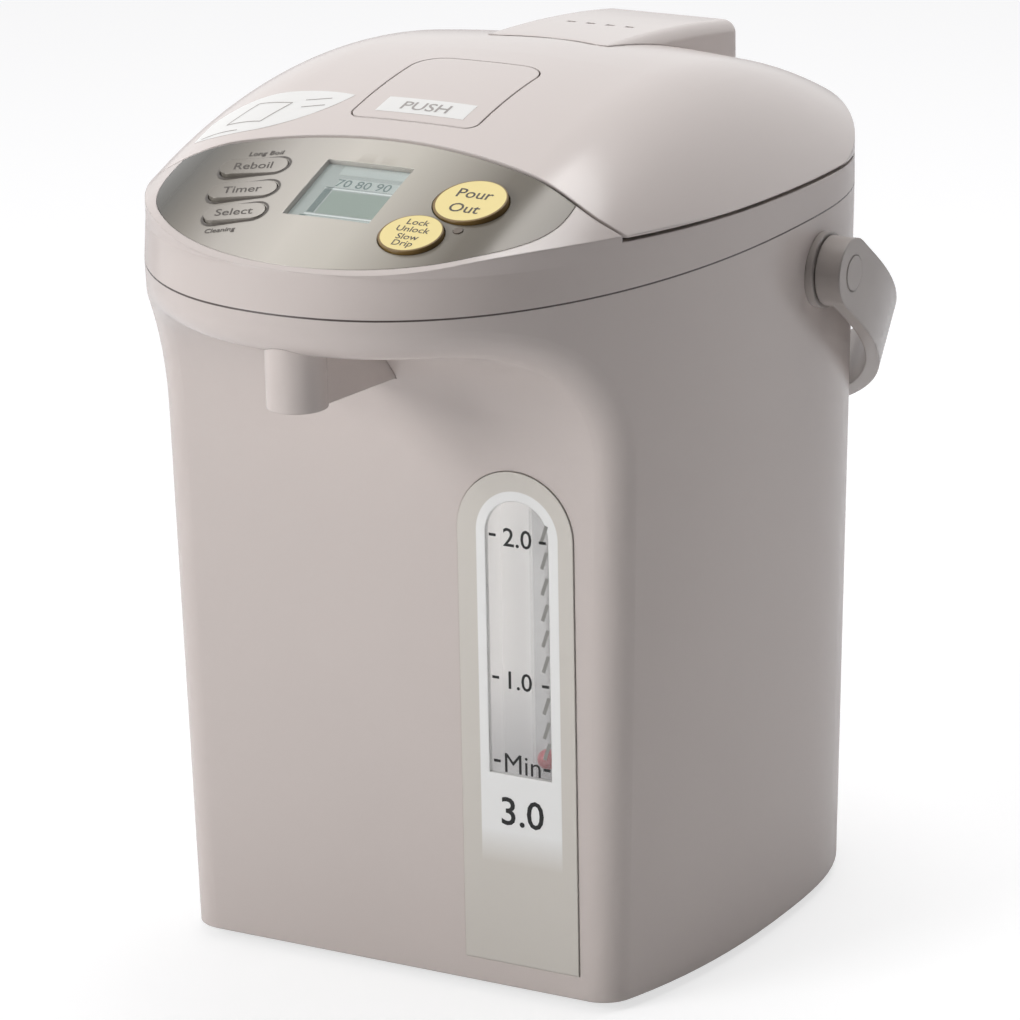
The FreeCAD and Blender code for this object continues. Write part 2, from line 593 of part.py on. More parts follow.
# Display, its window and the lamp.
BOARD_TOP = -S["board_depth"]
glass_half_x = S["display_width"] / 2 - 0.15
glass_half_y = S["display_length"] / 2 - 0.15
window = Part.makeBox(2 * glass_half_x, 2 * glass_half_y, 1.6, V(-glass_half_x, -glass_half_y, -1.9))
node(solid("DisplayWindow", window, on_panel(*DISPLAY)), "display_window")
spot = board_place.inverse().multVec(on_panel(*DISPLAY).Base)
module_low = BOARD_TOP - spot.z
module = Part.makeBox(2 * glass_half_x, 2 * glass_half_y, -2.1 - module_low,
                      V(-glass_half_x, -glass_half_y, module_low))
node(solid("DisplayModule", module, on_panel(*DISPLAY)), "display_module")
spot = board_place.inverse().multVec(on_panel(*LAMP).Base)
lamp_low = BOARD_TOP - spot.z
lamp = Part.makeCylinder(LAMP_RADIUS, 0.2 - lamp_low, V(0, 0, lamp_low))
node(solid("IndicatorLamp", lamp, on_panel(*LAMP)), "indicator_lamp")

# Switch board with five tact switches.
BOARD_HALF_X = 50.0
BOARD_FRONT = -18.0
BOARD_REAR = 17.0
BOARD_LOW = BOARD_TOP - S["board_thickness"]
board = Part.makeBox(2 * BOARD_HALF_X, BOARD_REAR - BOARD_FRONT, S["board_thickness"],
                     V(-BOARD_HALF_X, BOARD_FRONT, BOARD_LOW))
board = board.makeChamfer(8, [e for e in board.Edges if e.BoundBox.ZLength > 1
                              and e.BoundBox.XLength < 0.1 and e.BoundBox.YMax < 0])
node(solid("SwitchBoard", board, board_place), "switch_board")
switches = []
for x, y in switch_bases:
    case = Part.makeBox(6, 6, 2.6, V(x - 3, y - 3, BOARD_TOP))
    plunger = Part.makeCylinder(1.7, SWITCH_TOP - BOARD_TOP - 2.6, V(x, y, BOARD_TOP + 2.6))
    switches.append(case.fuse(plunger))
node(solid("TactSwitches", Part.makeCompound(switches), board_place), "tact_switches")
# A beam across the beak carries the board on two posts.
BEAM_FRONT = -12.0
BEAM_WIDTH = 7.0
BEAM_DROP = 2.0
beam_y = board_place.multVec(V(0, BEAM_FRONT, BOARD_LOW - BEAM_DROP)).y
beam_share = (S["panel_tip_y"] - beam_y) / S["panel_depth"]
beam_half = S["panel_half_width"] * math.sqrt(1 - beam_share ** 2) - LEDGE - 1.2
beam = Part.makeBox(2 * beam_half, BEAM_WIDTH, 3, V(-beam_half, BEAM_FRONT, BOARD_LOW - BEAM_DROP - 3))
for side in (-1, 1):
    beam = beam.fuse(Part.makeCylinder(2.2, BEAM_DROP, V(side * (BOARD_HALF_X - 8), BEAM_FRONT + BEAM_WIDTH / 2,
                                                         BOARD_LOW - BEAM_DROP)))
node(solid("BoardCarrier", beam, board_place), "board_carrier")

# Inner container: a drawn pot with a drawn-in neck and a flanged mouth.
FLANGE_Z = RECESS_Z + S["gasket_height"]
FLANGE_RADIUS = COLLAR_RADIUS - 0.2
SHOULDER_LOW = 232.0
SHOULDER_HIGH = 248.0


def pot(inset):
    """Solid of revolution of the pot, drawn in by inset."""
    low = S["container_bottom"] + inset
    radius = S["container_radius"] - inset
    neck = S["mouth_radius"] + S["container_wall"] - inset
    corner = 12.0 - inset
    top = FLANGE_Z + S["container_wall"] + inset
    a = V(radius - corner, 0, low)
    b = V(radius, 0, low + corner)
    mid = V(radius - corner * (1 - math.cos(math.pi / 4)), 0, low + corner * (1 - math.sin(math.pi / 4)))
    points = [V(radius, 0, SHOULDER_LOW), V(neck, 0, SHOULDER_HIGH), V(neck, 0, top), V(0, 0, top), V(0, 0, low)]
    edges = [Part.Arc(a, mid, b).toShape(), Part.makeLine(b, points[0])]
    for k in range(len(points) - 1):
        edges.append(Part.makeLine(points[k], points[k + 1]))
    edges.append(Part.makeLine(points[-1], a))
    turned = Part.Face(Part.Wire(edges)).revolve(V(0, 0, 0), V(0, 0, 1), 360)
    turned.translate(V(0, S["container_y"], 0))
    return turned


def ring(outer, inner, low, high, y):
    return Part.makeCylinder(outer, high - low, V(0, y, low)).cut(
        Part.makeCylinder(inner, high - low + 2, V(0, y, low - 1)))


pot_wall = S["container_wall"]
container = pot(0).fuse(Part.makeCylinder(FLANGE_RADIUS, pot_wall, V(0, S["container_y"], FLANGE_Z)))
container = container.cut(pot(pot_wall))
container = container.cut(Part.makeCylinder(S["hose_bore"], 20, V(PUMP.x, PUMP.y, S["container_bottom"] - 10)))
node(solid("InnerContainer", container), "inner_container")
gasket = cut("ContainerGasket",
             cylinder("GasketOut", "mouth_radius + gasket_reach", "gasket_height", "0", "container_y",
                      "recess_floor"),
             cylinder("GasketIn", "mouth_radius + container_wall + neck_clearance + fit", "3 * gasket_height",
                      "0", "container_y", "recess_floor - gasket_height"))
node(gasket, "container_gasket")

# Heat shield, band heater, heater plate and thermostat round the container.
shield = cut("HeatShield",
             cylinder("ShieldOut", "container_radius + shield_clearance + shield_thickness", "shield_height",
                      "0", "container_y", "shield_bottom"),
             cylinder("ShieldIn", "container_radius + shield_clearance", "2 * shield_height", "0",
                      "container_y", "shield_bottom - shield_height / 2"))
node(shield, "heat_shield")
band = cut("HeaterBand",
           cylinder("BandOut", "container_radius + band_thickness + fit", "band_height", "0",
                    "container_y", "container_bottom + band_rise"),
           cylinder("BandIn", "container_radius + fit", "2 * band_height", "0", "container_y",
                    "container_bottom + band_rise - band_height / 2"))
node(band, "heater_band")
plate = cut("HeaterPlate",
            cylinder("PlateDisc", "container_radius - plate_inset", "plate_thickness", "0", "container_y",
                     "container_bottom - plate_thickness - fit"),
            cylinder("PlateHole", "hose_radius + 5 * fit", "2 * plate_thickness", "0", "pump_y",
                     "container_bottom - 1.5 * plate_thickness"))
node(plate, "heater_plate")
node(cylinder("Thermostat", "thermostat_radius", "thermostat_height", "0", "container_y",
              "container_bottom - plate_thickness - thermostat_height - 2 * fit"), "thermostat")

# Pump: housing with its chamber, impeller, motor and hoses.
CHAMBER = V(PUMP.x, PUMP.y, PUMP.z + 2)
CHAMBER_HEIGHT = S["pump_height"] - 4
CHAMBER_RADIUS = S["pump_radius"] - 2.5
OUTLET_Z = S["pump_bottom"] + S["pump_height"] / 2
SHAFT_RADIUS = 1.5
SHAFT_END = CHAMBER.z + 7.5
housing = Part.makeCylinder(S["pump_radius"], S["pump_height"], PUMP)
for angle in (45, 135, 225, 315):
    x = PUMP.x + (S["motor_radius"] + 4) * math.cos(math.radians(angle))
    y = PUMP.y + (S["motor_radius"] + 4) * math.sin(math.radians(angle))
    housing = housing.fuse(Part.makeCylinder(4.0, 3, V(x, y, S["pump_bottom"])))
housing = housing.cut(Part.makeCylinder(CHAMBER_RADIUS, CHAMBER_HEIGHT, CHAMBER))
housing = housing.cut(Part.makeCylinder(SHAFT_RADIUS + 0.3, 6, PUMP - V(0, 0, 1)))
housing = housing.cut(Part.makeCylinder(S["hose_bore"], 20, V(PUMP.x, PUMP.y, PUMP.z + CHAMBER_HEIGHT)))
housing = housing.cut(Part.makeCylinder(S["hose_bore"], 30, V(PUMP.x, PUMP.y, OUTLET_Z), V(1, 0, 0)))
node(solid("PumpHousing", housing), "pump_housing")
wheel = Part.makeCylinder(CHAMBER_RADIUS - 3, 2, V(0, 0, 1)).fuse(Part.makeCylinder(4, 7, V(0, 0, 1)))
for k in range(6):
    vane = Part.makeBox(CHAMBER_RADIUS - 6, 1.4, 5, V(2, -0.7, 2))
    vane.rotate(V(0, 0, 0), V(0, 0, 1), 60 * k)
    wheel = wheel.fuse(vane)
wheel = wheel.cut(Part.makeCylinder(SHAFT_RADIUS + PIN_PLAY, 20, V(0, 0, -1)))
node(solid("Impeller", wheel, FreeCAD.Placement(CHAMBER, FreeCAD.Rotation())), "impeller")
motor = fuse("PumpMotor",
             cylinder("MotorCan", "motor_radius", "pump_bottom - motor_bottom", "0", "pump_y", "motor_bottom"),
             cylinder("MotorShaft", str(SHAFT_RADIUS), "%.4f - motor_bottom - 1" % SHAFT_END, "0", "pump_y",
                      "motor_bottom + 1"))
node(motor, "pump_motor")
inlet_hose = cut("InletHose",
                 cylinder("InletHoseOut", "hose_radius", "container_bottom - pump_bottom - pump_height", "0",
                          "pump_y", "pump_bottom + pump_height"),
                 cylinder("InletHoseIn", "hose_bore", "30", "0", "pump_y", "pump_bottom + pump_height - 5"))
node(inlet_hose, "inlet_hose")
tube_foot = V(S["gauge_tube_x"], S["gauge_tube_y"], TUBE_LOW)
delivery = tube([V(PUMP.x + S["pump_radius"], PUMP.y, OUTLET_Z), V(tube_foot.x, PUMP.y, OUTLET_Z),
                 V(tube_foot.x, tube_foot.y, OUTLET_Z), tube_foot], S["hose_radius"], S["hose_bore"], 12)
node(solid("DeliveryHose", delivery), "delivery_hose")

# Outlet: elbow over the spout with the anti-spill valve, fed by the riser hose.
ELBOW_RADIUS = 8.0
ELBOW_HEIGHT = 11.5
SEAT_RADIUS = 3.4
SEAT_HEIGHT = 2.0
VALVE_RADIUS = 4.2
HOSE_Z = SPOUT_TOP + 5.6
elbow_foot = V(0, S["spout_y"], SPOUT_TOP)
elbow = Part.makeCylinder(ELBOW_RADIUS, ELBOW_HEIGHT, elbow_foot)
elbow = elbow.cut(Part.makeCylinder(5.0, ELBOW_HEIGHT - SEAT_HEIGHT - 1.5, elbow_foot + V(0, 0, SEAT_HEIGHT)))
elbow = elbow.cut(Part.makeCylinder(SEAT_RADIUS, 2 * SEAT_HEIGHT, elbow_foot - V(0, 0, 1)))
feed = V(tube_foot.x, tube_foot.y, 0) - V(0, S["spout_y"], 0)
feed.normalize()
feed_end = V(0, S["spout_y"], HOSE_Z) + feed * ELBOW_RADIUS
elbow = elbow.cut(Part.makeCylinder(S["hose_bore"] - 0.5, ELBOW_RADIUS, V(0, S["spout_y"], HOSE_Z), feed))
node(solid("OutletElbow", elbow), "outlet_elbow")
VALVE_Z = SPOUT_TOP + SEAT_HEIGHT + math.sqrt(VALVE_RADIUS ** 2 - SEAT_RADIUS ** 2) + 0.02
valve = doc.addObject("Part::Sphere", "SpillValve")
valve.Radius = VALVE_RADIUS
seat(valve, "0", "spout_y", "%.4f" % VALVE_Z)
node(valve, "spill_valve")
# The hose's end is hollowed to the elbow's round side.
riser = tube([V(tube_foot.x, tube_foot.y, TUBE_HIGH), V(tube_foot.x, tube_foot.y, HOSE_Z),
              feed_end - feed * 3], S["hose_radius"] - 0.5, S["hose_bore"] - 0.5, 12)
riser = riser.cut(Part.makeCylinder(ELBOW_RADIUS, 40, V(0, S["spout_y"], SPOUT_TOP - 10)))
node(solid("RiserHose", riser), "riser_hose")

# Power board on its posts, with its parts and screws.
BOARD_Z = S["power_board_z"]
main_board = box("PowerBoard", "54", "82", "board_thickness", "-80", "-22", "power_board_z")
node(main_board, "power_board")
top = BOARD_Z + S["board_thickness"]
transformer = Part.makeBox(28, 24, 20, V(-72, -6, top)).fuse(Part.makeBox(32, 12, 16, V(-74, 0, top)))
relay = Part.makeBox(18, 15, 15, V(-50, 26, top))
sink = Part.makeBox(4, 22, 24, V(-70, 26, top))
capacitor = Part.makeCylinder(6.5, 22, V(-58, 40, top))
connector = Part.makeBox(10, 16, 8, V(-40, -8, top))
node(solid("PowerComponents", Part.makeCompound([transformer, relay, sink, capacitor, connector])),
     "power_components")
screws = [Part.makeCylinder(2.6, 1.8, V(x, y, top)) for x, y in POSTS]
node(solid("BoardScrews", Part.makeCompound(screws)), "board_screws")
base_heads = [Part.makeCylinder(3.2, 1.2, V(x, y, S["body_bottom"] - 1.2))
              for x, y in ((-82, 20), (82, 20), (-30, 112), (30, 112))]
node(solid("BaseScrews", Part.makeCompound(base_heads)), "base_screws")

# Power inlet at the back with its two pins.
inlet = Part.makeBox(2 * S["inlet_half_width"], 40, 2 * S["inlet_half_height"],
                     V(-S["inlet_half_width"], INLET_Y, S["inlet_z"] - S["inlet_half_height"]))
SOCKET_Y = INLET_Y + 5
SOCKET_WALL = 3.5
inlet = inlet.common(body_outside)
inlet = inlet.cut(Part.makeBox(2 * (S["inlet_half_width"] - SOCKET_WALL), 40,
                               2 * (S["inlet_half_height"] - SOCKET_WALL),
                               V(-S["inlet_half_width"] + SOCKET_WALL, SOCKET_Y,
                                 S["inlet_z"] - S["inlet_half_height"] + SOCKET_WALL)))
node(solid("PowerInlet", inlet), "power_inlet")
pins = [Part.makeCylinder(1.5, 9, V(side * 7, SOCKET_Y, S["inlet_z"]), V(0, 1, 0)) for side in (-1, 1)]
node(solid("InletPins", Part.makeCompound(pins)), "inlet_pins")

# Handle pivots, one each side: a flange on the shell, a spigot through it and a pin.
FLANGE_OUT = S["body_half_width"] + 2.4
PIN_END = S["handle_outer"] - 3.0
for name, side in (("left", -1), ("right", 1)):
    turn = V(side, 0, 0)
    centre = V(0, S["pivot_y"], S["pivot_z"])
    flange = Part.makeCylinder(S["hub_radius"] + 1.0, 6, centre + turn * (FLANGE_OUT - 6), turn)
    flange = flange.cut(body_outside)
    spigot = Part.makeCylinder(SPIGOT_RADIUS, 9, centre + turn * (FLANGE_OUT - 9), turn)
    pin = Part.makeCylinder(S["pivot_radius"], PIN_END - FLANGE_OUT + 1, centre + turn * (FLANGE_OUT - 1), turn)
    node(solid("Pivot" + name.title(), flange.fuse(spigot).fuse(pin)), "pivot_" + name)

# Handle: a flat strap bent round the back of the body, in its own tilted plane.
HUB_END = S["handle_outer"]


def strap(inset):
    """U-shaped area of the strap's outer edge, from the pivots round the grip."""
    half = S["handle_outer"] - inset
    reach = S["handle_reach"] - inset
    straight_part = S["handle_reach"] - S["handle_outer"]
    arc = Part.Arc(V(half, straight_part, 0), V(0, reach, 0), V(-half, straight_part, 0)).toShape()
    return Part.Wire([Part.makeLine(V(-half, 0, 0), V(half, 0, 0)),
                      Part.makeLine(V(half, 0, 0), V(half, straight_part, 0)), arc,
                      Part.makeLine(V(-half, straight_part, 0), V(-half, 0, 0))])


half_strap = S["handle_width"] / 2
bail = Part.Face(strap(0)).extrude(V(0, 0, S["handle_width"]))
bail = bail.cut(Part.Face(strap(S["handle_thickness"])).extrude(V(0, 0, S["handle_width"])))
bail.translate(V(0, 0, -half_strap))
for side in (-1, 1):
    turn = V(side, 0, 0)
    hub = Part.makeCylinder(S["hub_radius"], HUB_END - S["hub_start"], turn * S["hub_start"], turn)
    bail = bail.fuse(hub)
for side in (-1, 1):
    turn = V(side, 0, 0)
    bail = bail.cut(Part.makeCylinder(S["pivot_radius"] + S["pivot_play"], PIN_END - S["hub_start"] + 0.5,
                                      turn * (S["hub_start"] - 0.01), turn))
    bail = bail.cut(Part.makeCylinder(6.2, 1.0, turn * (HUB_END - 1.0), turn))
handle_place = FreeCAD.Placement(V(0, S["pivot_y"], S["pivot_z"]),
                                 FreeCAD.Rotation(V(1, 0, 0), -S["handle_drop"]))
node(solid("Handle", bail, handle_place), "handle")
caps = [Part.makeCylinder(6.0, 1.2, V(side, 0, 0) * (HUB_END - 1.0), V(side, 0, 0)) for side in (-1, 1)]
node(solid("HandleCaps", Part.makeCompound(caps), handle_place), "handle_caps")

# Lid: domed cover with its walls, inner plate with the plug, gaskets, vent and screws.
BEHIND = Part.makeBox(2 * FAR, FAR, 2 * FAR, V(-FAR, S["lid_rear_y"], 0))


def lid_volume(inset):
    volume = straight(inset, S["seam_height"], S["dome_height"] + 5).common(dome(inset))
    volume = volume.common(above_split(S["lid_gap"]))
    volume = volume.cut(panel_rear(S["lid_front_gap"] + inset))
    return volume.cut(BEHIND.translated(V(0, -inset, 0)))


CHANNEL_HALF = S["tower_half_width"] + 0.6
channel = Part.makeBox(2 * CHANNEL_HALF, 60, S["hinge_z"] + PIN_EYE + 1.2 - 200,
                       V(-CHANNEL_HALF, TOWER_FRONT - 0.8, 200))


def lever_outline(grow, low, high):
    """Upright prism of the lever: small front corners, large back ones."""
    half = S["lever_half_width"] + grow
    block = Part.makeBox(2 * half, S["lever_rear"] - S["lever_front"] + 2 * grow, high - low,
                         V(-half, S["lever_front"] - grow, low))
    upright = [e for e in block.Edges if e.BoundBox.ZLength > 1]
    middle = (S["lever_front"] + S["lever_rear"]) / 2
    rounded = block.makeFillet(S["lever_rear_corner"] + grow, [e for e in upright if e.BoundBox.YMin > middle])
    upright = [e for e in rounded.Edges if e.BoundBox.ZLength > 1 and e.BoundBox.YMax < S["lever_front"] - grow + 1]
    return rounded.makeFillet(S["lever_front_corner"] + grow, upright)


cover = lid_volume(0).cut(lid_volume(S["lid_wall"]))
cover = cover.cut(lever_outline(S["lever_gap"], 280, 320))
cover = cover.cut(channel)
cover = cover.cut(latch_form(S["panel_rear_y"] - 8, S["panel_rear_y"] + 8, LATCH_PLAY))
VENT_Y = 76.0
VENT_PITCH = 7.6
VENT_WIDTH = 3.2
vent_slots = [Part.makeBox(VENT_WIDTH, 2.2, 30, V((k - 1.5) * VENT_PITCH - VENT_WIDTH / 2, VENT_Y, 280))
              for k in range(4)]
cover = cover.cut(Part.makeCompound(vent_slots))
node(solid("LidCover", cover), "lid_cover")

PLATE_PLAY = 0.3
PLATE_THICKNESS = 2.4
inner_volume = lid_volume(S["lid_wall"] + PLATE_PLAY).cut(above_split(S["lid_gap"] + PLATE_THICKNESS))
COLLAR_Z = FLANGE_Z + pot_wall + 2.5
collar = Part.makeCylinder(COLLAR_RADIUS, 12, V(0, S["container_y"], COLLAR_Z))
PLUG_RADIUS = S["mouth_radius"] - S["plug_clearance"]
PLUG_LOW = COLLAR_Z - S["plug_depth"]
plug = Part.makeCylinder(PLUG_RADIUS, S["plug_depth"] + 2, V(0, S["container_y"], PLUG_LOW))
body_of_plate = inner_volume.fuse(collar).fuse(plug).cut(above_split(S["lid_gap"] + PLATE_THICKNESS))
seal = ring(COLLAR_RADIUS - 0.6, PLUG_RADIUS + 3.4, FLANGE_Z + pot_wall + 0.25, COLLAR_Z, S["container_y"])
body_of_plate = body_of_plate.cut(seal)
body_of_plate = body_of_plate.cut(channel)
body_of_plate = body_of_plate.cut(Part.makeCylinder(4, 60, V(0, VENT_Y, 240)))
node(solid("LidInnerPlate", body_of_plate), "lid_inner_plate")
node(solid("LidGasket", seal), "lid_gasket")
lid_screws = []
for k in range(3):
    angle = math.radians(90 + 120 * k + 60)
    lid_screws.append(Part.makeCylinder(3.0, 1.4, V(46 * math.cos(angle), S["container_y"] + 46 * math.sin(angle),
                                                    PLUG_LOW - 1.4)))
node(solid("LidScrews", Part.makeCompound(lid_screws)), "lid_screws")
vent = Part.makeBox(38, 14, 60, V(-19, VENT_Y - 6, 250)).common(dome(S["lid_wall"] + 0.2))
vent = vent.common(above_split(S["lid_gap"] + PLATE_THICKNESS))
vent = vent.cut(Part.makeCylinder(4, 60, V(0, VENT_Y, 240)))
vent = vent.cut(Part.makeBox(34, 10, 40, V(-17, VENT_Y - 4, 278)))
node(solid("SteamVent", vent), "steam_vent")

# Hinge cover over the tower, and the pin through both.
HOOD_CORNER = 5.0
side = V(-S["hood_half_width"], 0, 0)
nose = V(0, S["hood_front"], S["hood_front_top"]) + side
tail = V(0, S["hood_rear"], S["hood_rear_top"]) + side
profile = [Part.Arc(nose, V(0, S["hood_middle_y"], S["hood_middle_top"]) + side, tail).toShape()]
profile += Part.makePolygon([tail, V(tail.x, tail.y, S["hood_bottom"]), V(nose.x, nose.y, S["hood_bottom"]),
                             nose]).Edges
hood = Part.Face(Part.Wire(profile)).extrude(V(2 * S["hood_half_width"], 0, 0))
hood = hood.makeFillet(HOOD_CORNER, [e for e in hood.Edges if e.BoundBox.ZMax > S["hood_rear_top"] - 1
                                     and e.BoundBox.YMax > S["hood_front"] + 1])
hood = hood.cut(straight(-0.05, S["seam_height"], 320).common(dome(-0.05)).cut(
    Part.makeBox(2 * FAR, FAR, 2 * FAR, V(-FAR, S["lid_rear_y"] + 0.3, 0))))
hood = hood.cut(channel)
hood = hood.cut(Part.makeCompound(vent_slots))
hood = hood.cut(Part.makeCylinder(S["hinge_pin_radius"] + PIN_PLAY, 2 * (S["hood_half_width"] - 3),
                                  V(-S["hood_half_width"] + 3, S["hinge_y"], S["hinge_z"]), V(1, 0, 0)))
node(solid("HingeCover", hood), "hinge_cover")
pin = cylinder("HingePin", "hinge_pin_radius", "2 * hood_half_width - 7", "3.5 - hood_half_width", "hinge_y",
               "hinge_z", "X")
node(pin, "hinge_pin")

# Push lever, its bracket, pin and latch.
LEVER_PIN_Z = dome_z(0, S["lever_pin_y"]) - S["lever_pin_depth"]
LUG_IN = 13.0
LUG_OUT = 16.5
EAR_OUT = 20.0
LEVER_PIN_RADIUS = S["lever_pin_radius"]
FLOOR_Z = 270.5
FLOOR_THICKNESS = 1.0
lever = lever_outline(0, 270, 320).common(dome(0)).cut(dome(S["lever_thickness"]))
for side in (-1, 1):
    x = LUG_IN if side > 0 else -LUG_OUT
    lug = Part.makeBox(LUG_OUT - LUG_IN, 8, 14, V(x, S["lever_pin_y"] - 4, LEVER_PIN_Z - 3.5))
    lever = lever.fuse(lug.common(dome(S["lever_thickness"] / 2)))
lever = lever.cut(Part.makeCylinder(LEVER_PIN_RADIUS + PIN_PLAY, 60,
                                    V(-30, S["lever_pin_y"], LEVER_PIN_Z), V(1, 0, 0)))
node(solid("PushLever", lever), "push_lever")
bracket = Part.makeBox(2 * (S["lever_half_width"] + 2), S["lever_rear"] - S["lever_front"] + 6, FLOOR_THICKNESS,
                       V(-S["lever_half_width"] - 2, S["lever_front"] - 3, FLOOR_Z))
for side in (-1, 1):
    x = LUG_OUT + 0.4 if side > 0 else -EAR_OUT
    ear = Part.makeBox(EAR_OUT - LUG_OUT - 0.4, 8, LEVER_PIN_Z + 3 - FLOOR_Z, V(x, S["lever_pin_y"] - 4, FLOOR_Z))
    bracket = bracket.fuse(ear)
bracket = bracket.cut(Part.makeCylinder(LEVER_PIN_RADIUS + PIN_PLAY, 60,
                                        V(-30, S["lever_pin_y"], LEVER_PIN_Z), V(1, 0, 0)))
node(solid("LeverBracket", bracket), "lever_bracket")
lever_pin = cylinder("LeverPin", "lever_pin_radius", "2 * lever_pin_half", "-lever_pin_half", "lever_pin_y",
                     "%.4f" % LEVER_PIN_Z, "X")
node(lever_pin, "lever_pin")
LATCH_NOSE = S["panel_rear_y"] + 0.4
latch = latch_form(LATCH_NOSE, -46.0, 0)
node(solid("LatchBolt", latch), "latch_bolt")

# Check and write the pieces.
doc.recompute()
for thing in doc.Objects:
    if "Invalid" in thing.State or "Error" in thing.State:
        raise RuntimeError("failed: " + thing.Name)
for thing in nodes:
    if thing.Shape.isNull() or not thing.Shape.isValid() or not thing.Shape.Solids:
        raise RuntimeError("bad shape: " + thing.Label)
os.makedirs("parts", exist_ok=True)
for thing in nodes:
    thing.Shape.exportStep("parts/%s.step" % thing.Label)
    print(thing.Label, len(thing.Shape.Solids), round(thing.Shape.Volume))
print("nodes", len(nodes))
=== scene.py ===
import math
import bpy
import numpy as np
from mathutils import Matrix, Vector


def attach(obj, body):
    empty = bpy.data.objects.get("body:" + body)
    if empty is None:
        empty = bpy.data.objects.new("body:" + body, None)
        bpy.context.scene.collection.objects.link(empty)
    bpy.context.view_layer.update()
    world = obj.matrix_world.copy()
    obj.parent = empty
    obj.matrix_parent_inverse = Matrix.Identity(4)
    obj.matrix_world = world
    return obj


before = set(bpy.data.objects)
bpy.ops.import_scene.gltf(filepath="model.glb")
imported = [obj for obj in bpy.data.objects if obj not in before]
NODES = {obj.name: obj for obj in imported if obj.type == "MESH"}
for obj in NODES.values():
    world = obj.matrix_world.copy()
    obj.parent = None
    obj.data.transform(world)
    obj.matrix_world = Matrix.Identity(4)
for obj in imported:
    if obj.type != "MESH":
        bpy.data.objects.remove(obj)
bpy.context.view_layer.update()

MM = 0.001


# Camera: a long lens on a tripod, a little above the lid and to the right of the front,
# so that the flat front, the right side and the panel on top all show.
CAMERA_PLACE = (0.8012, -1.4572, 0.6801)
CAMERA_AIM = (-0.4573, 0.8345, -0.3073)
CAMERA_ROLL = -1.05
camera_data = bpy.data.cameras.new("product_camera")
camera_data.lens = 178.3
camera_data.sensor_width = 36.0
camera_data.clip_end = 20.0
camera = bpy.data.objects.new("product_camera", camera_data)
bpy.context.scene.collection.objects.link(camera)
camera_forward = Vector(CAMERA_AIM).normalized()
level_right = camera_forward.cross(Vector((0.0, 0.0, 1.0))).normalized()
level_up = level_right.cross(camera_forward)
roll = math.radians(CAMERA_ROLL)
camera_right = level_right * math.cos(roll) + level_up * math.sin(roll)
camera_up = level_up * math.cos(roll) - level_right * math.sin(roll)
camera.matrix_world = Matrix((
    (camera_right.x, camera_up.x, -camera_forward.x, CAMERA_PLACE[0]),
    (camera_right.y, camera_up.y, -camera_forward.y, CAMERA_PLACE[1]),
    (camera_right.z, camera_up.z, -camera_forward.z, CAMERA_PLACE[2]),
    (0.0, 0.0, 0.0, 1.0),
))
bpy.context.scene.camera = camera


# Studio: a white room with a big soft box in front on the left, one overhead and a weak
# one behind on the right. The room dims toward a corner in front on the right, for the
# light that it gives and for what gloss mirrors.
def linear(hex_colour):
    """sRGB hex to linear: c / 12.92 up to 0.04045, above it ((c + 0.055) / 1.055) to the 2.4."""
    channels = np.array([int(hex_colour[i:i + 2], 16) for i in (1, 3, 5)]) / 255.0
    low = channels / 12.92
    high = ((channels + 0.055) / 1.055) ** 2.4
    return (*np.where(channels <= 0.04045, low, high), 1.0)


def put(tree, kind, settings=None, links=None):
    """Adds one node, sets its attributes and sockets, and links its inputs. Sockets go by
    name or number: a colour mix has its share at 0, its colours at 6 and 7, its result at 2."""
    node = tree.nodes.new(kind)
    for key, value in (settings or {}).items():
        if isinstance(key, str) and hasattr(node, key):
            setattr(node, key, value)
        else:
            node.inputs[key].default_value = value
    for key, (source, output) in (links or {}).items():
        tree.links.new(source.outputs[output], node.inputs[key])
    return node


def open_tree(owner):
    """Gives a material or world an empty node tree."""
    owner.use_nodes = True
    owner.node_tree.nodes.clear()
    return owner.node_tree


DARK_CORNER = (0.66, -0.66, 0.35)
ROOM_FILL = {"From Min": -0.25, "From Max": 0.65, "To Min": 0.7, "To Max": 0.03}
ROOM_SHEEN = {"From Min": -0.1, "From Max": 0.75, "To Min": 1.0, "To Max": 0.12}

world = bpy.data.worlds.new("white_room")
bpy.context.scene.world = world
room = open_tree(world)
ray = put(room, "ShaderNodeLightPath")
seen = put(room, "ShaderNodeMath", {"operation": "MAXIMUM"},
           {0: (ray, "Is Camera Ray"), 1: (ray, "Is Transmission Ray")})
way = put(room, "ShaderNodeTexCoord")
corner = put(room, "ShaderNodeVectorMath", {"operation": "DOT_PRODUCT", 1: DARK_CORNER},
             {0: (way, "Generated")})
level = put(room, "ShaderNodeMapRange", ROOM_FILL, {0: (corner, "Value")})
fill = put(room, "ShaderNodeBackground", {"Color": linear("#fbfaff")}, {"Strength": (level, 0)})
sheen = put(room, "ShaderNodeMapRange", ROOM_SHEEN, {0: (corner, "Value")})
mirrored = put(room, "ShaderNodeBackground", {"Color": linear("#ffffff")}, {"Strength": (sheen, 0)})
wall = put(room, "ShaderNodeBackground", {"Color": linear("#ffffff"), "Strength": 1.0})
bounced = put(room, "ShaderNodeMixShader", None,
              {0: (ray, "Is Glossy Ray"), 1: (fill, 0), 2: (mirrored, 0)})
chosen = put(room, "ShaderNodeMixShader", None, {0: (seen, 0), 1: (bounced, 0), 2: (wall, 0)})
put(room, "ShaderNodeOutputWorld", None, {"Surface": (chosen, 0)})

bpy.context.scene.view_settings.view_transform = "Standard"


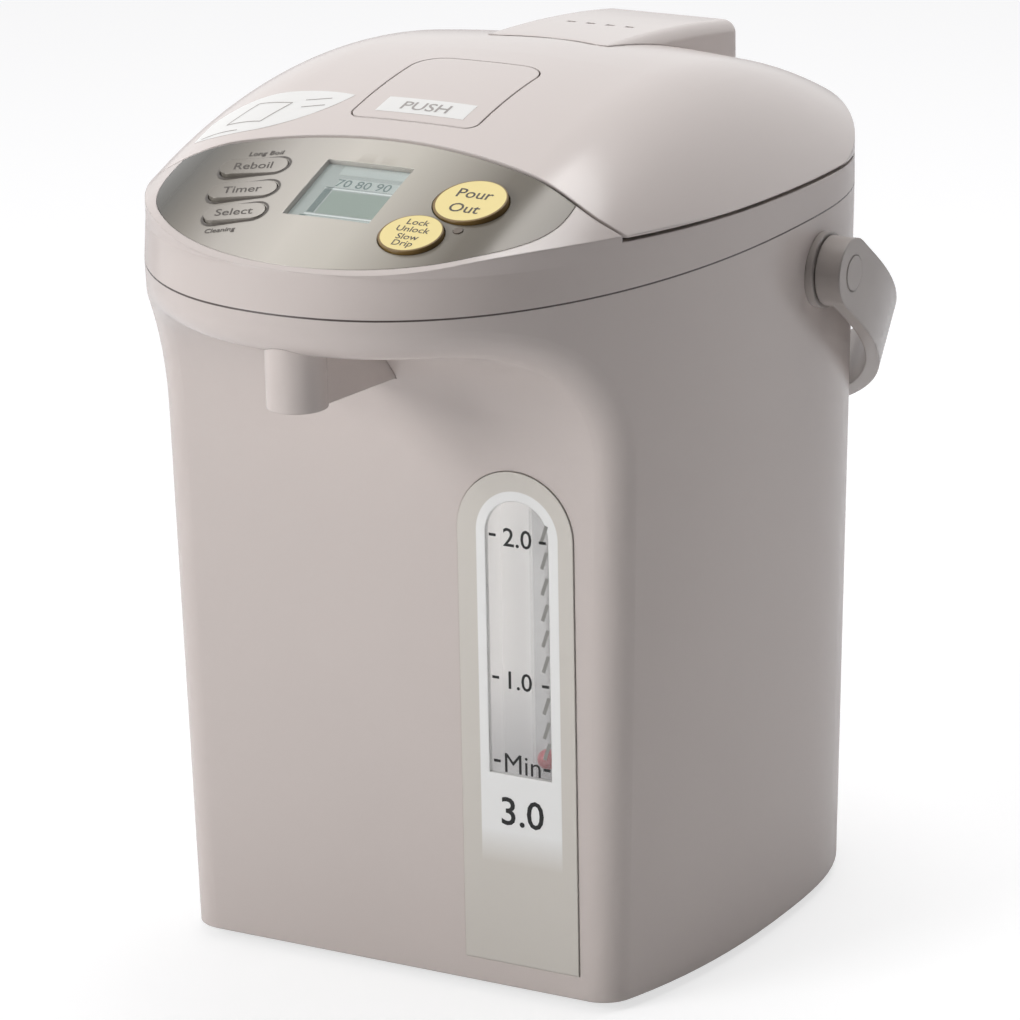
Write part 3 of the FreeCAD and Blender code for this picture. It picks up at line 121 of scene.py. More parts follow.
def soft_box(name, place, target, size, power):
    """A square area lamp at place that faces target."""
    data = bpy.data.lights.new(name, "AREA")
    data.energy = power
    data.size = size
    lamp = bpy.data.objects.new(name, data)
    bpy.context.scene.collection.objects.link(lamp)
    lamp.location = place
    lamp.rotation_euler = (Vector(target) - Vector(place)).to_track_quat("-Z", "Y").to_euler()


soft_box("key_light", place=(-1.1, -1.7, 1.0), target=(0.0, 0.0, 0.18), size=0.9, power=26.0)
soft_box("top_light", place=(0.1, 0.35, 1.9), target=(0.0, 0.0, 0.2), size=1.0, power=15.5)
soft_box("rear_light", place=(1.5, 1.3, 0.2), target=(0.0, 0.0, 0.1), size=0.7, power=3.2)


# Floor: matt white background paper. To the camera it is a dim paper with a glow, so that
# it runs into the white room and keeps the shadow; to all other rays it is plain paper.
FLOOR_SIDE = 4.0
FLOOR_REAR = 6.0
PAPER_GLOW = 0.68
floor_mesh = bpy.data.meshes.new("studio_floor")
floor_mesh.from_pydata([
    (-FLOOR_SIDE, -FLOOR_SIDE, 0),
    (FLOOR_SIDE, -FLOOR_SIDE, 0),
    (FLOOR_SIDE, FLOOR_REAR, 0),
    (-FLOOR_SIDE, FLOOR_REAR, 0),
], [], [(0, 1, 2, 3)])
studio_floor = bpy.data.objects.new("studio_floor", floor_mesh)
bpy.context.scene.collection.objects.link(studio_floor)
floor_paper = bpy.data.materials.new("white_background_paper")
paper = open_tree(floor_paper)
ray = put(paper, "ShaderNodeLightPath")
lit = put(paper, "ShaderNodeBsdfDiffuse", {"Color": linear("#f2f2f2")})
dim = put(paper, "ShaderNodeBsdfDiffuse", {"Color": linear("#b0b0b0")})
glow = put(paper, "ShaderNodeEmission", {"Color": linear("#ffffff"), "Strength": PAPER_GLOW})
bright = put(paper, "ShaderNodeAddShader", None, {0: (dim, 0), 1: (glow, 0)})
chosen = put(paper, "ShaderNodeMixShader", None,
             {0: (ray, "Is Camera Ray"), 1: (lit, 0), 2: (bright, 0)})
put(paper, "ShaderNodeOutputMaterial", None, {"Surface": (chosen, 0)})
floor_mesh.materials.append(floor_paper)


# Body shell: one tall injection-moulded ABS case with a flat front, in a warm pearl
# grey. The moulded skin is glossy with the faint unevenness of a large flat moulding,
# and the joint to the collar above it shows as a dark hairline.
TONE_CLOUD = 0.060
TONE_DRIFT = 0.02
GLOSS_CLOUD = 0.025
GLOSS_DRIFT = 0.03
GRAIN_STRENGTH = 0.35


def moulded(name, colour, roughness=0.24, grain=0.6, depth=0.010, edge=0.7,
            settings=None, paint=None):
    """A moulded plastic: colour that drifts by TONE_DRIFT over 60 mm, gloss that varies
    over 25 mm, a grain (size and depth in mm) that is drawn coarser than the real one so
    that it can show, and edges rounded by edge mm. paint adds what is laid over the colour:
    print, the seam's hairline, and on some pieces painted shade."""
    material = bpy.data.materials.new(name)
    tree = open_tree(material)
    place = put(tree, "ShaderNodeTexCoord")
    cloud = put(tree, "ShaderNodeTexNoise", {"Scale": 1 / TONE_CLOUD, "Detail": 2.0},
                {"Vector": (place, "Object")})
    base = np.array(linear(colour)[:3])
    tone = put(tree, "ShaderNodeMix", {
        "data_type": "RGBA",
        6: (*(base * (1 - TONE_DRIFT)), 1.0),
        7: (*np.minimum(base * (1 + TONE_DRIFT), 1.0), 1.0),
    }, {0: (cloud, 0)})
    if paint:
        tone = paint(tree, place, tone)
    smear = put(tree, "ShaderNodeTexNoise", {"Scale": 1 / GLOSS_CLOUD, "Detail": 3.0},
                {"Vector": (place, "Object")})
    gloss = put(tree, "ShaderNodeMapRange", {
        "To Min": roughness - GLOSS_DRIFT, "To Max": roughness + GLOSS_DRIFT}, {0: (smear, 0)})
    skin = put(tree, "ShaderNodeTexNoise", {"Scale": 1 / (grain * MM), "Detail": 1.0},
               {"Vector": (place, "Object")})
    relief = put(tree, "ShaderNodeBump", {"Strength": GRAIN_STRENGTH, "Distance": depth * MM},
                 {"Height": (skin, 0)})
    if edge:
        rounded = put(tree, "ShaderNodeBevel", {"samples": 4, "Radius": edge * MM})
        tree.links.new(rounded.outputs[0], relief.inputs["Normal"])
    shader = put(tree, "ShaderNodeBsdfPrincipled", {"IOR": 1.5, **(settings or {})}, {
        "Base Color": (tone, 2), "Roughness": (gloss, 0), "Normal": (relief, 0)})
    put(tree, "ShaderNodeOutputMaterial", None, {"Surface": (shader, 0)})
    return material


def finish_node(node, material):
    """Gives every material slot of a CAD node the same material."""
    mesh = NODES[node].data
    if len(mesh.materials) == 0:
        mesh.materials.append(material)
    for i in range(len(mesh.materials)):
        mesh.materials[i] = material


SEAM_HEIGHT = 251.5
SEAM_HALF = 0.3
SEAM_SOFT = 0.05


def seam_line(tree, place, tone):
    """Darkens a hairline 0.6 mm wide at the height of the joint."""
    part = put(tree, "ShaderNodeSeparateXYZ", None, {0: (place, "Object")})
    off = put(tree, "ShaderNodeMath", {"operation": "SUBTRACT", 1: SEAM_HEIGHT * MM}, {0: (part, 2)})
    off = put(tree, "ShaderNodeMath", {"operation": "ABSOLUTE"}, {0: (off, 0)})
    line = put(tree, "ShaderNodeMapRange", {
        "From Min": (SEAM_HALF + SEAM_SOFT) * MM, "From Max": (SEAM_HALF - SEAM_SOFT) * MM}, {0: (off, 0)})
    return put(tree, "ShaderNodeMix", {"data_type": "RGBA", 7: linear("#5d5350")},
               {0: (line, 0), 6: (tone, 2)})


pearl_grey = moulded("pearl_grey_moulded_abs", "#cbc1bc", paint=seam_line)
finish_node("body_shell", pearl_grey)


# Base cover and feet: a black polypropylene tray that closes the case from below, and
# four soft rubber pads pushed into it, duller than the tray.
matt_black = moulded("black_polypropylene", "#2b2a29", roughness=0.5, grain=0.8, depth=0.03)
finish_node("base_cover", matt_black)
black_rubber = moulded("black_rubber", "#1f1f1e", roughness=0.72, grain=0.9, depth=0.05)
for node in ("foot_front_left", "foot_front_right", "foot_rear_left", "foot_rear_right"):
    finish_node(node, black_rubber)


# Upper frame and spout: the collar moulding that carries the panel and closes the case
# from above, in the body's colour, with the pouring nozzle below its beak.
finish_node("upper_frame", pearl_grey)
finish_node("spout_nozzle", moulded("pearl_grey_nozzle", "#cbc1bc"))


# Gauge: a silver-painted plate down the front with a clear window, a white surround that
# fades out below it, and a white trough behind, greyer toward its foot as partly painted
# shade, with a painted glow of its own, though it is no lamp, to look as bright as it should.
WINDOW_X = 48.75
WINDOW_TOP = 176.0
WINDOW_LOW = 80.0
WINDOW_HALF = 11.75
SURROUND_HALF = 15.2
SURROUND_SOFT = 0.15
SURROUND_END = 48.0
SURROUND_FULL = 60.0
TROUGH_DIM_FROM = 112.0
TROUGH_GLOW = 0.35
GAUGE_FRONT = -80.05


def surround(tree, place, tone):
    """White inside an arch of half width SURROUND_HALF round the window, fading out
    between 60 and 48 mm above the ground."""
    part = put(tree, "ShaderNodeSeparateXYZ", None, {0: (place, "Object")})
    across = put(tree, "ShaderNodeMath", {"operation": "SUBTRACT", 1: WINDOW_X * MM}, {0: (part, 0)})
    above = put(tree, "ShaderNodeMath", {
        "operation": "SUBTRACT", 1: (WINDOW_TOP - WINDOW_HALF) * MM}, {0: (part, 2)})
    above = put(tree, "ShaderNodeMath", {"operation": "MAXIMUM", 1: 0.0}, {0: (above, 0)})
    arm = put(tree, "ShaderNodeCombineXYZ", None, {0: (across, 0), 1: (above, 0)})
    reach = put(tree, "ShaderNodeVectorMath", {"operation": "LENGTH"}, {0: (arm, 0)})
    inside = put(tree, "ShaderNodeMapRange", {
        "From Min": (SURROUND_HALF + SURROUND_SOFT) * MM,
        "From Max": (SURROUND_HALF - SURROUND_SOFT) * MM,
    }, {0: (reach, "Value")})
    fade = put(tree, "ShaderNodeMapRange", {
        "From Min": SURROUND_END * MM, "From Max": SURROUND_FULL * MM}, {0: (part, 2)})
    share = put(tree, "ShaderNodeMath", {"operation": "MULTIPLY"}, {0: (inside, 0), 1: (fade, 0)})
    return put(tree, "ShaderNodeMix", {"data_type": "RGBA", 7: linear("#ebebe9")},
               {0: (share, 0), 6: (tone, 2)})


gauge_paint = moulded("silver_painted_plate", "#cfcac2", roughness=0.34, grain=0.3, depth=0.006,
                      settings={"Metallic": 0.1}, paint=surround)
finish_node("gauge_panel", gauge_paint)


def trough_shade(tree, place, tone):
    """Greyer from TROUGH_DIM_FROM down to the window's foot, in step with the height: partly painted
    shade.
    """
    part = put(tree, "ShaderNodeSeparateXYZ", None, {0: (place, "Object")})
    low = put(tree, "ShaderNodeMapRange", {
        "From Min": TROUGH_DIM_FROM * MM, "From Max": WINDOW_LOW * MM}, {0: (part, 2)})
    return put(tree, "ShaderNodeMix", {"data_type": "RGBA", 7: linear("#a7a7aa")},
               {0: (low, 0), 6: (tone, 2)})


# Painted light: the card glows by TROUGH_GLOW though it is no lamp, and its foot is greyed partly as
# painted shade.
white_print = moulded("white_card_painted_shade_and_glow", "#e6e4e2", roughness=0.45, grain=0.3, depth=0.004, edge=0,
                      settings={"Emission Color": linear("#e6e4e2"), "Emission Strength": TROUGH_GLOW},
                      paint=trough_shade)
finish_node("gauge_backing", white_print)

CLEAR_SMEAR = 0.02
CLEAR_ROUGHNESS = 0.03
CLEAR_DRIFT = 0.05


def clear(name, colour, see_through):
    """A clear plastic or glass: see_through of it straight through, and the rest as gloss
    whose roughness drifts over 20 mm."""
    material = bpy.data.materials.new(name)
    tree = open_tree(material)
    place = put(tree, "ShaderNodeTexCoord")
    smear = put(tree, "ShaderNodeTexNoise", {"Scale": 1 / CLEAR_SMEAR, "Detail": 2.0},
                {"Vector": (place, "Object")})
    gloss = put(tree, "ShaderNodeMapRange", {
        "To Min": CLEAR_ROUGHNESS, "To Max": CLEAR_ROUGHNESS + CLEAR_DRIFT}, {0: (smear, 0)})
    tint = put(tree, "ShaderNodeBsdfTransparent", {"Color": linear(colour)})
    shine = put(tree, "ShaderNodeBsdfPrincipled", {
        "Base Color": linear(colour), "IOR": 1.49}, {"Roughness": (gloss, 0)})
    mixed = put(tree, "ShaderNodeMixShader", {0: see_through}, {1: (shine, 0), 2: (tint, 0)})
    put(tree, "ShaderNodeOutputMaterial", None, {"Surface": (mixed, 0)})
    return material


clear_acrylic = clear("clear_acrylic", "#fcfcfc", 0.93)
finish_node("gauge_window", clear_acrylic)


# Gauge tube and float: a tube of clear borosilicate glass with bright streaks down its
# sides, and a ball moulded in red polypropylene that floats on the water in it.
finish_node("gauge_tube", clear("borosilicate_glass", "#f8f8f8", 0.9))
red_float = moulded("red_polypropylene", "#d8303f", 0.3)
finish_node("float_ball", red_float)


# Gauge print: black numbers with a tick at each side, and slanted grey dashes beside the
# tube, screen-printed on the front of plate and window in a flat, slightly dull ink.
CAPITAL_SHARE = 0.73


def words(text, height, x, y, turn=0.0, weight=0.012):
    """Flat points and faces of a text whose capitals are height mm high, centred on
    (x, y) and turned by turn degrees, its strokes fattened by weight times the height."""
    curve = bpy.data.curves.new("lettering", "FONT")
    curve.body = text
    curve.size = height / CAPITAL_SHARE
    curve.offset = height * weight
    curve.resolution_u = 3
    curve.align_x = "CENTER"
    holder = bpy.data.objects.new("lettering", curve)
    bpy.context.scene.collection.objects.link(holder)
    bpy.context.view_layer.update()
    mesh = bpy.data.meshes.new_from_object(holder)
    flat = np.array([v.co[:2] for v in mesh.vertices])
    faces = [tuple(face.vertices) for face in mesh.polygons]
    bpy.data.objects.remove(holder)
    bpy.data.curves.remove(curve)
    bpy.data.meshes.remove(mesh)
    flat = flat - (flat.min(0) + flat.max(0)) / 2
    c, s = math.cos(math.radians(turn)), math.sin(math.radians(turn))
    return flat @ np.array([[c, s], [-s, c]]) + (x, y), faces


def patch(columns, rows, spot):
    """A grid of cells whose flat places are spot(s, t), with s and t from 0 to 1."""
    s, t = np.meshgrid(np.linspace(0, 1, columns + 1), np.linspace(0, 1, rows + 1))
    x, y = spot(s.ravel(), t.ravel())
    flat = np.column_stack([x, y])
    first = (np.arange(rows)[:, None] * (columns + 1) + np.arange(columns)).ravel()
    faces = np.column_stack([first, first + 1, first + columns + 2, first + columns + 1])
    return flat, [tuple(face) for face in faces.tolist()]


def stroke(x0, y0, x1, y1, width, cells=10):
    """A straight printed line of that width, cut into cells so that it follows a curve."""
    start = np.array([x0, y0], float)
    along = np.array([x1, y1], float) - start
    side = np.array([along[1], -along[0]]) / np.linalg.norm(along) * width

    def spot(s, t):
        place = start + np.outer(s, along) - np.outer(t - 0.5, side)
        return place[:, 0], place[:, 1]
    return patch(cells, 1, spot)


def printed(name, marks, lay, body, ink):
    """One thin printed piece from flat marks. lay turns flat x and y, in mm, to points."""
    points = []
    faces = []
    for flat, cells in marks:
        faces += [tuple(len(points) + i for i in cell) for cell in cells]
        points += (lay(flat[:, 0], flat[:, 1]) * MM).tolist()
    mesh = bpy.data.meshes.new(name)
    mesh.from_pydata(points, [], faces)
    mesh.materials.append(ink)
    piece = bpy.data.objects.new(name, mesh)
    bpy.context.scene.collection.objects.link(piece)
    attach(piece, body)


def on_gauge(x, z):
    """The gauge's front: an upright plane."""
    return np.column_stack([x, np.full_like(x, GAUGE_FRONT), z])


# Text, height of its capitals, middle across and up, and how far its strokes are fattened.
GAUGE_WORDS = (
    ("2.0", 6.6, 49.0, 163.4, 0.012),
    ("1.0", 6.4, 49.2, 113.7, 0.012),
    ("Min", 7.2, 49.6, 84.3, 0.0),
    ("3.0", 10.2, 49.2, 67.0, 0.012),
)
TICK_PLACES = ((39.7, 163.6), (58.3, 163.2), (40.0, 114.0), (58.6, 113.4), (40.0, 84.5), (58.7, 84.0))
TICK_HALF = 1.3
TICK_WIDTH = 1.0
DASH_HEIGHTS = (166.2, 157.2, 148.2, 139.2, 130.2, 121.2, 106.6, 98.0, 90.6)
DASH_FOOT = 57.9
DASH_HEAD = 59.9
DASH_HALF = 3.0
DASH_WIDTH = 1.3

black_ink = moulded("black_screen_ink", "#101010", 0.4, edge=0)
scale = [words(text, high, x, z, weight=weight) for text, high, x, z, weight in GAUGE_WORDS]
scale += [stroke(x - TICK_HALF, z, x + TICK_HALF, z, TICK_WIDTH) for x, z in TICK_PLACES]
printed("gauge_scale", scale, on_gauge, "body", black_ink)
grey_ink = moulded("grey_screen_ink", "#8b8a86", 0.4, edge=0)
dashes = [stroke(DASH_FOOT, z - DASH_HALF, DASH_HEAD, z + DASH_HALF, DASH_WIDTH) for z in DASH_HEIGHTS]
printed("gauge_dashes", dashes, on_gauge, "body", grey_ink)


# Control panel: a clear polycarbonate plate, silver-painted from behind, darker toward
# its two tips than in the middle, a darkening that is partly the paint's own and partly
# painted shade. It lies on the beak's crowned top, and its print is a dark brown ink.
CROWN = 610.0
CROWN_HALF = 54.0
SHOULDER = 60.0
PANEL_TILT = 20.6
DECK_AXIS_Y = 210.47
DECK_AXIS_Z = -564.85
DECK_RADIUS = 900.0
DECK_PROUD = 0.14


def barrel(x, y, axis_y, axis_z, reach):
    """Height in mm of a crowned barrel: a section with a crown of radius 610 out to 54 mm
    and shoulders of radius 60, turned about a line along X."""
    turn = math.asin(CROWN_HALF / CROWN)
    centre = CROWN_HALF - SHOULDER * math.sin(turn)
    below = CROWN * (1 - math.cos(turn)) + SHOULDER * math.cos(turn)
    wide = np.abs(x)
    middle = CROWN - np.sqrt(CROWN ** 2 - np.minimum(wide, CROWN_HALF) ** 2)
    outer = below - np.sqrt(np.maximum(SHOULDER ** 2 - np.maximum(wide - centre, 0) ** 2, 0))
    drop = np.where(wide <= CROWN_HALF, middle, outer)
    return axis_z + np.sqrt((reach - drop) ** 2 - (y - axis_y) ** 2)


def on_deck(x, y, proud=DECK_PROUD):
    """The beak's flat top: a barrel of radius 900, and proud of it by that many mm."""
    return np.column_stack([x, y, barrel(x, y, DECK_AXIS_Y, DECK_AXIS_Z, DECK_RADIUS) + proud])


def on_cap(x0, y0, proud):
    """A lay for a flat piece set in the panel at (x0, y0) and tilted with it."""
    base = on_deck(np.array([x0]), np.array([y0]), 0.0)[0]
    c, s = math.cos(math.radians(PANEL_TILT)), math.sin(math.radians(PANEL_TILT))

    def lay(x, y):
        return np.column_stack([base[0] + x, base[1] + y * c - proud * s, base[2] + y * s + proud * c])
    return lay


# Place across the panel in mm, and the colour painted there, darker toward the tips partly as painted
# shade.
PANEL_STOPS = ((-76, "#3a3832"), (-62, "#45423b"), (-47, "#857f76"), (-30, "#b9b3ab"),
               (-8, "#cec8be"), (12, "#c5bfb4"), (30, "#a59f94"), (50, "#696257"), (76, "#50493f"))
PANEL_SPAN = 80
PAINT_SHARE = 0.96


def panel_shade(tree, place, tone):
    """Silver that darkens toward both tips, by the place across the panel: partly painted shade."""
    part = put(tree, "ShaderNodeSeparateXYZ", None, {0: (place, "Object")})
    across = put(tree, "ShaderNodeMapRange", {
        "From Min": -PANEL_SPAN * MM, "From Max": PANEL_SPAN * MM}, {0: (part, 0)})
    shades = put(tree, "ShaderNodeValToRGB", None, {0: (across, 0)})
    stops = shades.color_ramp.elements
    while len(stops) < len(PANEL_STOPS):
        stops.new(0.5)
    for stop, (x, colour) in zip(stops, PANEL_STOPS):
        stop.position = (x + PANEL_SPAN) / (2 * PANEL_SPAN)
        stop.color = linear(colour)
    return put(tree, "ShaderNodeMix", {"data_type": "RGBA", 0: PAINT_SHARE},
               {6: (tone, 2), 7: (shades, 0)})


# Text, height of its capitals, middle across and back, and turn in degrees.
PANEL_WORDS = (("Long Boil", 2.4, -40.0, -83.5, 8.0), ("Cleaning", 2.2, -33.0, -125.2, 13.0))

# The panel's silver carries painted shade toward its tips, and the pills share it.
silver_paint = moulded("silver_polycarbonate_painted_shade", "#a5a095", roughness=0.2, grain=0.25,
                       depth=0.004, edge=0.5, settings={"Metallic": 0.15}, paint=panel_shade)
finish_node("control_panel", silver_paint)
brown_ink = moulded("dark_brown_screen_ink", "#4b443e", 0.4, edge=0)
printed("panel_legends", [words(*word) for word in PANEL_WORDS], on_deck, "body", brown_ink)


# Keys: three silver pills, each ringed by a dark band that is painted shade for the gap
# round it, and two round yellow caps with a brown rim. Each is its own moulding, with its
# function printed on it.
LEGEND_PROUD = 0.95
PILL_LETTERS = 3.9
PILL_HALF_WIDTH = 4.55
OUTLINE_WIDTH = 0.75
# Node, text, middle across and back, turn in degrees, and half length.
PILLS = (
    ("button_top", "Reboil", -39.9, -91.5, 14.0, 11.85),
    ("button_middle", "Timer", -36.5, -104.5, 16.0, 11.85),
    ("button_bottom", "Select", -32.6, -116.3, 17.0, 10.55),
)
for node, text, x, y, turn, half_length in PILLS:
    finish_node(node, silver_paint)
    printed(node + "_legend", [words(text, PILL_LETTERS, 0.0, 0.0, turn)], on_cap(x, y, LEGEND_PROUD),
            node.replace("button", "cap"), brown_ink)


def stadium(half_length, half_width, turn, count):
    """Points round a long shape with round ends: a circle pulled apart along its length."""
    angle = np.linspace(0, 2 * math.pi, count, endpoint=False)
    x = half_width * np.cos(angle) + np.sign(np.cos(angle)) * (half_length - half_width)
    y = half_width * np.sin(angle)
    c, s = math.cos(math.radians(turn)), math.sin(math.radians(turn))
    return np.column_stack([x * c - y * s, x * s + y * c])


def outline_ring(half_length, half_width, turn, width, x, y, count=48):
    """A band of that width round a stadium, as two rings of points joined by cells."""
    inner = stadium(half_length, half_width, turn, count)
    outer = stadium(half_length + width, half_width + width, turn, count)
    cells = [(i, count + i, count + (i + 1) % count, (i + 1) % count) for i in range(count)]
    return np.concatenate([inner, outer]) + (x, y), cells


# Painted shade: a dark ring round each pill stands in for the shade in the gap round it.
pill_shadow = moulded("painted_key_gap_shade", "#56504a", 0.35, edge=0)
outlines = [outline_ring(half_length, PILL_HALF_WIDTH, turn, OUTLINE_WIDTH, x, y)
            for node, text, x, y, turn, half_length in PILLS]
printed("pill_outlines", outlines, on_deck, "body", pill_shadow)

RIM_START = 0.935
RIM_FULL = 0.955


def rim(x, y, half_x, half_y):
    """A paint for a round cap at (x, y): brown on its outer millimetre, where the place
    from its middle, divided by the cap's half sizes, is nearly 1 long."""
    lean = math.cos(math.radians(PANEL_TILT))

    def paint(tree, place, tone):
        flat = put(tree, "ShaderNodeMapping", {
            "vector_type": "POINT",
            "Location": (-x / half_x, -y / half_y / lean, 0.0),
            "Scale": (1 / half_x / MM, 1 / half_y / lean / MM, 0.0),
        }, {0: (place, "Object")})
        reach = put(tree, "ShaderNodeVectorMath", {"operation": "LENGTH"}, {0: (flat, 0)})
        ring = put(tree, "ShaderNodeMapRange", {"From Min": RIM_START, "From Max": RIM_FULL},
                   {0: (reach, "Value")})
        return put(tree, "ShaderNodeMix", {"data_type": "RGBA", 7: linear("#7d6336")},
                   {0: (ring, 0), 6: (tone, 2)})
    return paint


# Node, middle across and back, half sizes, and its words with the height of their
# capitals and their place up the cap.
ROUND_KEYS = (
    ("button_pour", 43.3, -96.3, 12.4, 11.7, (("Pour", 4.9, 4.0), ("Out", 4.9, -4.0))),
    ("button_lock", 32.6, -116.4, 10.8, 10.1,
     (("Lock", 3.0, 6.0), ("Unlock", 3.0, 2.1), ("Slow", 3.0, -2.0), ("Drip", 3.0, -6.0))),
)
for node, x, y, half_x, half_y, lines in ROUND_KEYS:
    yellow = moulded("yellow_moulded_" + node, "#efdc98", 0.3, edge=0.5, paint=rim(x, y, half_x, half_y))
    finish_node(node, yellow)
    printed(node + "_legend", [words(text, high, 0.0, up) for text, high, up in lines],
            on_cap(x, y, LEGEND_PROUD), node.replace("button", "cap"), brown_ink)


# Display: a clear window over a grey-green liquid crystal glass with its dark field, its
# pale bands and lines, and a row of numbers for the water's heat. The glass is smooth,
# and what it shows lies a hair over it. Beside it is a smoked lamp lens.
DISPLAY_Y = -99.3
GLASS_PROUD = -2.03
NUMBERS_PROUD = -1.99
LINE_ENDS = (-10.5, 15.2)
LINE_WIDTH = 0.7
# Blocks by their left, right, front and rear edges in mm from the display's middle.
DARK_BLOCKS = ((-7.0, 14.6, -11.2, 1.4),)
PALE_BLOCKS = ((-7.5, 15.4, 3.4, 8.4), (-8.5, 14.6, -15.4, -13.0), (-9.5, 15.0, 10.5, 15.2))
# Painted shadow: dark blocks along the crystal's left edge.
SHADOW_BLOCKS = ((-10.2, -7.6, -11.2, 3.2), (-11.6, -9.4, -15.6, -12.8))
LINE_PLACES = (2.4, -12.1)

finish_node("display_window", clear_acrylic)
crystal_glass = moulded("liquid_crystal_glass", "#a3aea8", 0.25, edge=0)
finish_node("display_module", crystal_glass)
on_display = on_cap(0.0, DISPLAY_Y, GLASS_PROUD)


def block(x0, x1, y0, y1, columns=1, rows=1):
    """A plain rectangle between two corners, in that many cells."""
    return patch(columns, rows, lambda s, t: (x0 + (x1 - x0) * s, y0 + (y1 - y0) * t))


crystal_lines = [stroke(LINE_ENDS[0], y, LINE_ENDS[1], y, LINE_WIDTH) for y in LINE_PLACES]
for name, marks, ink_name, colour in (
    ("display_field", [block(*edges) for edges in DARK_BLOCKS], "dark_crystal_field", "#86998c"),
    ("display_band", [block(*edges) for edges in PALE_BLOCKS], "pale_crystal_band", "#b9c4bf"),
    ("display_lines", crystal_lines, "pale_crystal_line", "#e6efec"),
    ("display_shadow", [block(*edges) for edges in SHADOW_BLOCKS], "painted_shadow_on_crystal", "#4f6862"),
):
    printed(name, marks, on_display, "body", moulded(ink_name, colour, 0.25, edge=0))
crystal_numbers = moulded("crystal_numbers", "#56706b", 0.25, edge=0)
printed("display_numbers", [words("70 80 90", height=4.2, x=2.2, y=5.9)],
        on_cap(0.0, DISPLAY_Y, NUMBERS_PROUD), "body", crystal_numbers)
lamp_lens = moulded("smoked_lamp_lens", "#6b6055", 0.2, edge=0.3)
finish_node("indicator_lamp", lamp_lens)


# Handle and its pivots: a moulded bail of the body's grey plastic, painted a darker grey
# that is painted shade, with broadly rounded edges, that swings on two flanged hubs at the sides.
pearl_with_painted_shade = moulded("pearl_grey_abs_painted_shade", "#aea6a1", 0.2, edge=1.0)
for node in ("handle", "handle_caps", "pivot_left", "pivot_right"):
    finish_node(node, pearl_with_painted_shade)


# Lid: a domed moulding with its push lever, hinge hood and steam slots, a little lighter
# and glossier than the body, with a white vinyl sticker on its left and a label on the
# lever, both printed in grey.
LID_AXIS_Y = 10.0
LID_AXIS_Z = 44.0
LID_RADIUS = 259.0
STICKER_PROUD = 0.06
LABEL_INK_PROUD = 0.12

lid_plastic = moulded("pale_pearl_moulded_abs", "#d6ccc7", 0.22)
for node in ("lid_cover", "push_lever", "hinge_cover"):
    finish_node(node, lid_plastic)
finish_node("steam_vent", matt_black)


def on_lid(x, y, proud=STICKER_PROUD):
    """The lid's domed top: a barrel of radius 259, and proud of it by that many mm."""
    return np.column_stack([x, y, barrel(x, y, LID_AXIS_Y, LID_AXIS_Z, LID_RADIUS) + proud])


def bend(s, points):
    """A Bezier curve through four control points, for s from 0 to 1."""
    weights = np.array([(1 - s) ** 3, 3 * s * (1 - s) ** 2, 3 * s ** 2 * (1 - s), s ** 3])
    return weights.T @ np.array(points, float)


LABEL_EDGES = (-16.0, 17.0, -53.4, -43.0)
STICKER_REAR = [(-29, -43.6), (-45, -39.5), (-66, -41), (-77, -57)]
STICKER_FRONT = [(-29, -43.6), (-34, -61), (-56, -78), (-77, -69)]


def leaf(s, t):
    """Between two curves that start from one tip: t goes from the front one to the rear one."""
    rear = bend(s, STICKER_REAR)
    front = bend(s, STICKER_FRONT)
    place = front * (1 - t)[:, None] + rear * t[:, None]
    return place[:, 0], place[:, 1]


sticker_white = moulded("white_vinyl_sticker", "#e9e8e5", 0.3, edge=0)
leaf_flat, leaf_faces = patch(columns=36, rows=14, spot=leaf)
leaf_faces = [face[::-1] for face in leaf_faces]
printed("lid_sticker", [(leaf_flat, leaf_faces)], on_lid, "lid", sticker_white)
label = block(*LABEL_EDGES, columns=24, rows=6)
printed("lever_label", [label], on_lid, "lever", sticker_white)


def on_label(x, y):
    """Just over a label on the lid."""
    return on_lid(x, y, LABEL_INK_PROUD)


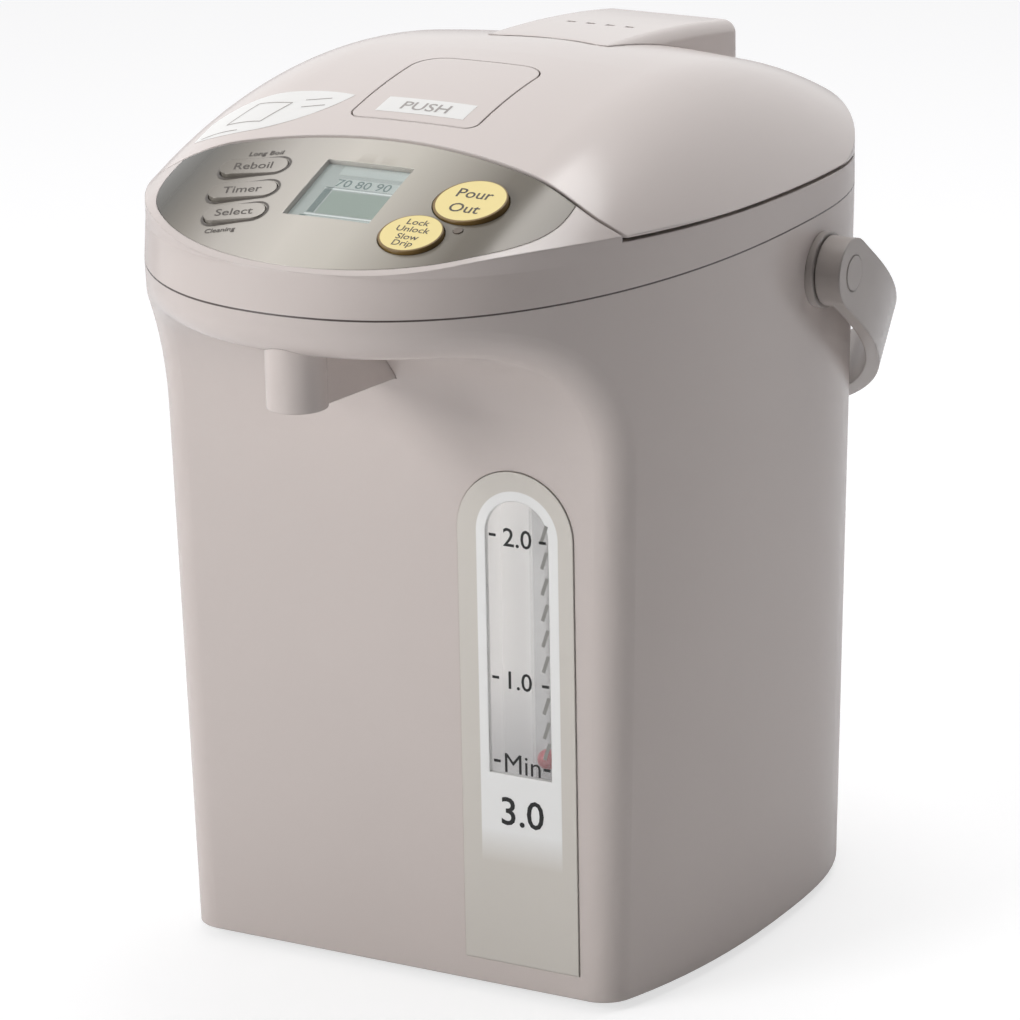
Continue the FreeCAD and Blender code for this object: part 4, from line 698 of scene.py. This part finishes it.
PICTURE_CORNERS = ((-67.0, -64.0), (-54.0, -64.0), (-49.0, -51.0), (-62.0, -51.0))
STICKER_LINES = ((-74.0, -69.0, -60.0, -69.0), (-44.0, -54.0, -36.0, -52.0), (-45.0, -49.0, -36.0, -47.0))
THIN_LINE = 0.5

pale_ink = moulded("grey_print_on_label", "#a19b97", 0.4, edge=0)
push = words("PUSH", height=5.6, x=0.5, y=-48.3)
printed("lever_word", [push], on_label, "lever", pale_ink)
sides = [(*PICTURE_CORNERS[i], *PICTURE_CORNERS[(i + 1) % 4]) for i in range(4)]
pictogram = [stroke(*ends, THIN_LINE) for ends in (*sides, *STICKER_LINES)]
printed("sticker_pictogram", pictogram, on_label, "lid", pale_ink)


# Inside: boards, hoses, the pot, heater, pump and the small hardware. Steel is brushed or
# rolled, the heater plate is cast and dull, hoses and gaskets are milky silicone, and the
# pins of the power inlet are plated brass.
board_green = moulded("green_solder_mask", "#1f5a38", 0.35)
for node in ("switch_board", "power_board"):
    finish_node(node, board_green)
for node in ("tact_switches", "board_carrier", "power_components", "power_inlet",
             "thermostat", "pump_housing"):
    finish_node(node, matt_black)
brushed_steel = moulded("brushed_stainless_steel", "#c8c9ca", 0.3, settings={"Metallic": 1.0})
for node in ("inner_container", "heater_band", "board_screws", "base_screws", "lid_screws",
             "hinge_pin", "lever_pin", "spill_valve"):
    finish_node(node, brushed_steel)
sheet_steel = moulded("rolled_sheet_steel", "#a9adb0", 0.42, settings={"Metallic": 1.0})
for node in ("heat_shield", "pump_motor"):
    finish_node(node, sheet_steel)
cast_aluminium = moulded("cast_aluminium", "#b3b4b6", 0.5, settings={"Metallic": 1.0})
finish_node("heater_plate", cast_aluminium)
silicone = moulded("translucent_silicone", "#e4e1da", 0.55)
for node in ("container_gasket", "lid_gasket", "inlet_hose", "delivery_hose", "riser_hose"):
    finish_node(node, silicone)
white_plastic = moulded("white_polypropylene", "#e6e5e0", 0.4)
for node in ("lid_inner_plate", "lever_bracket", "latch_bolt", "impeller", "outlet_elbow"):
    finish_node(node, white_plastic)
brass = moulded("plated_brass", "#c9a75a", 0.3, settings={"Metallic": 1.0})
finish_node("inlet_pins", brass)
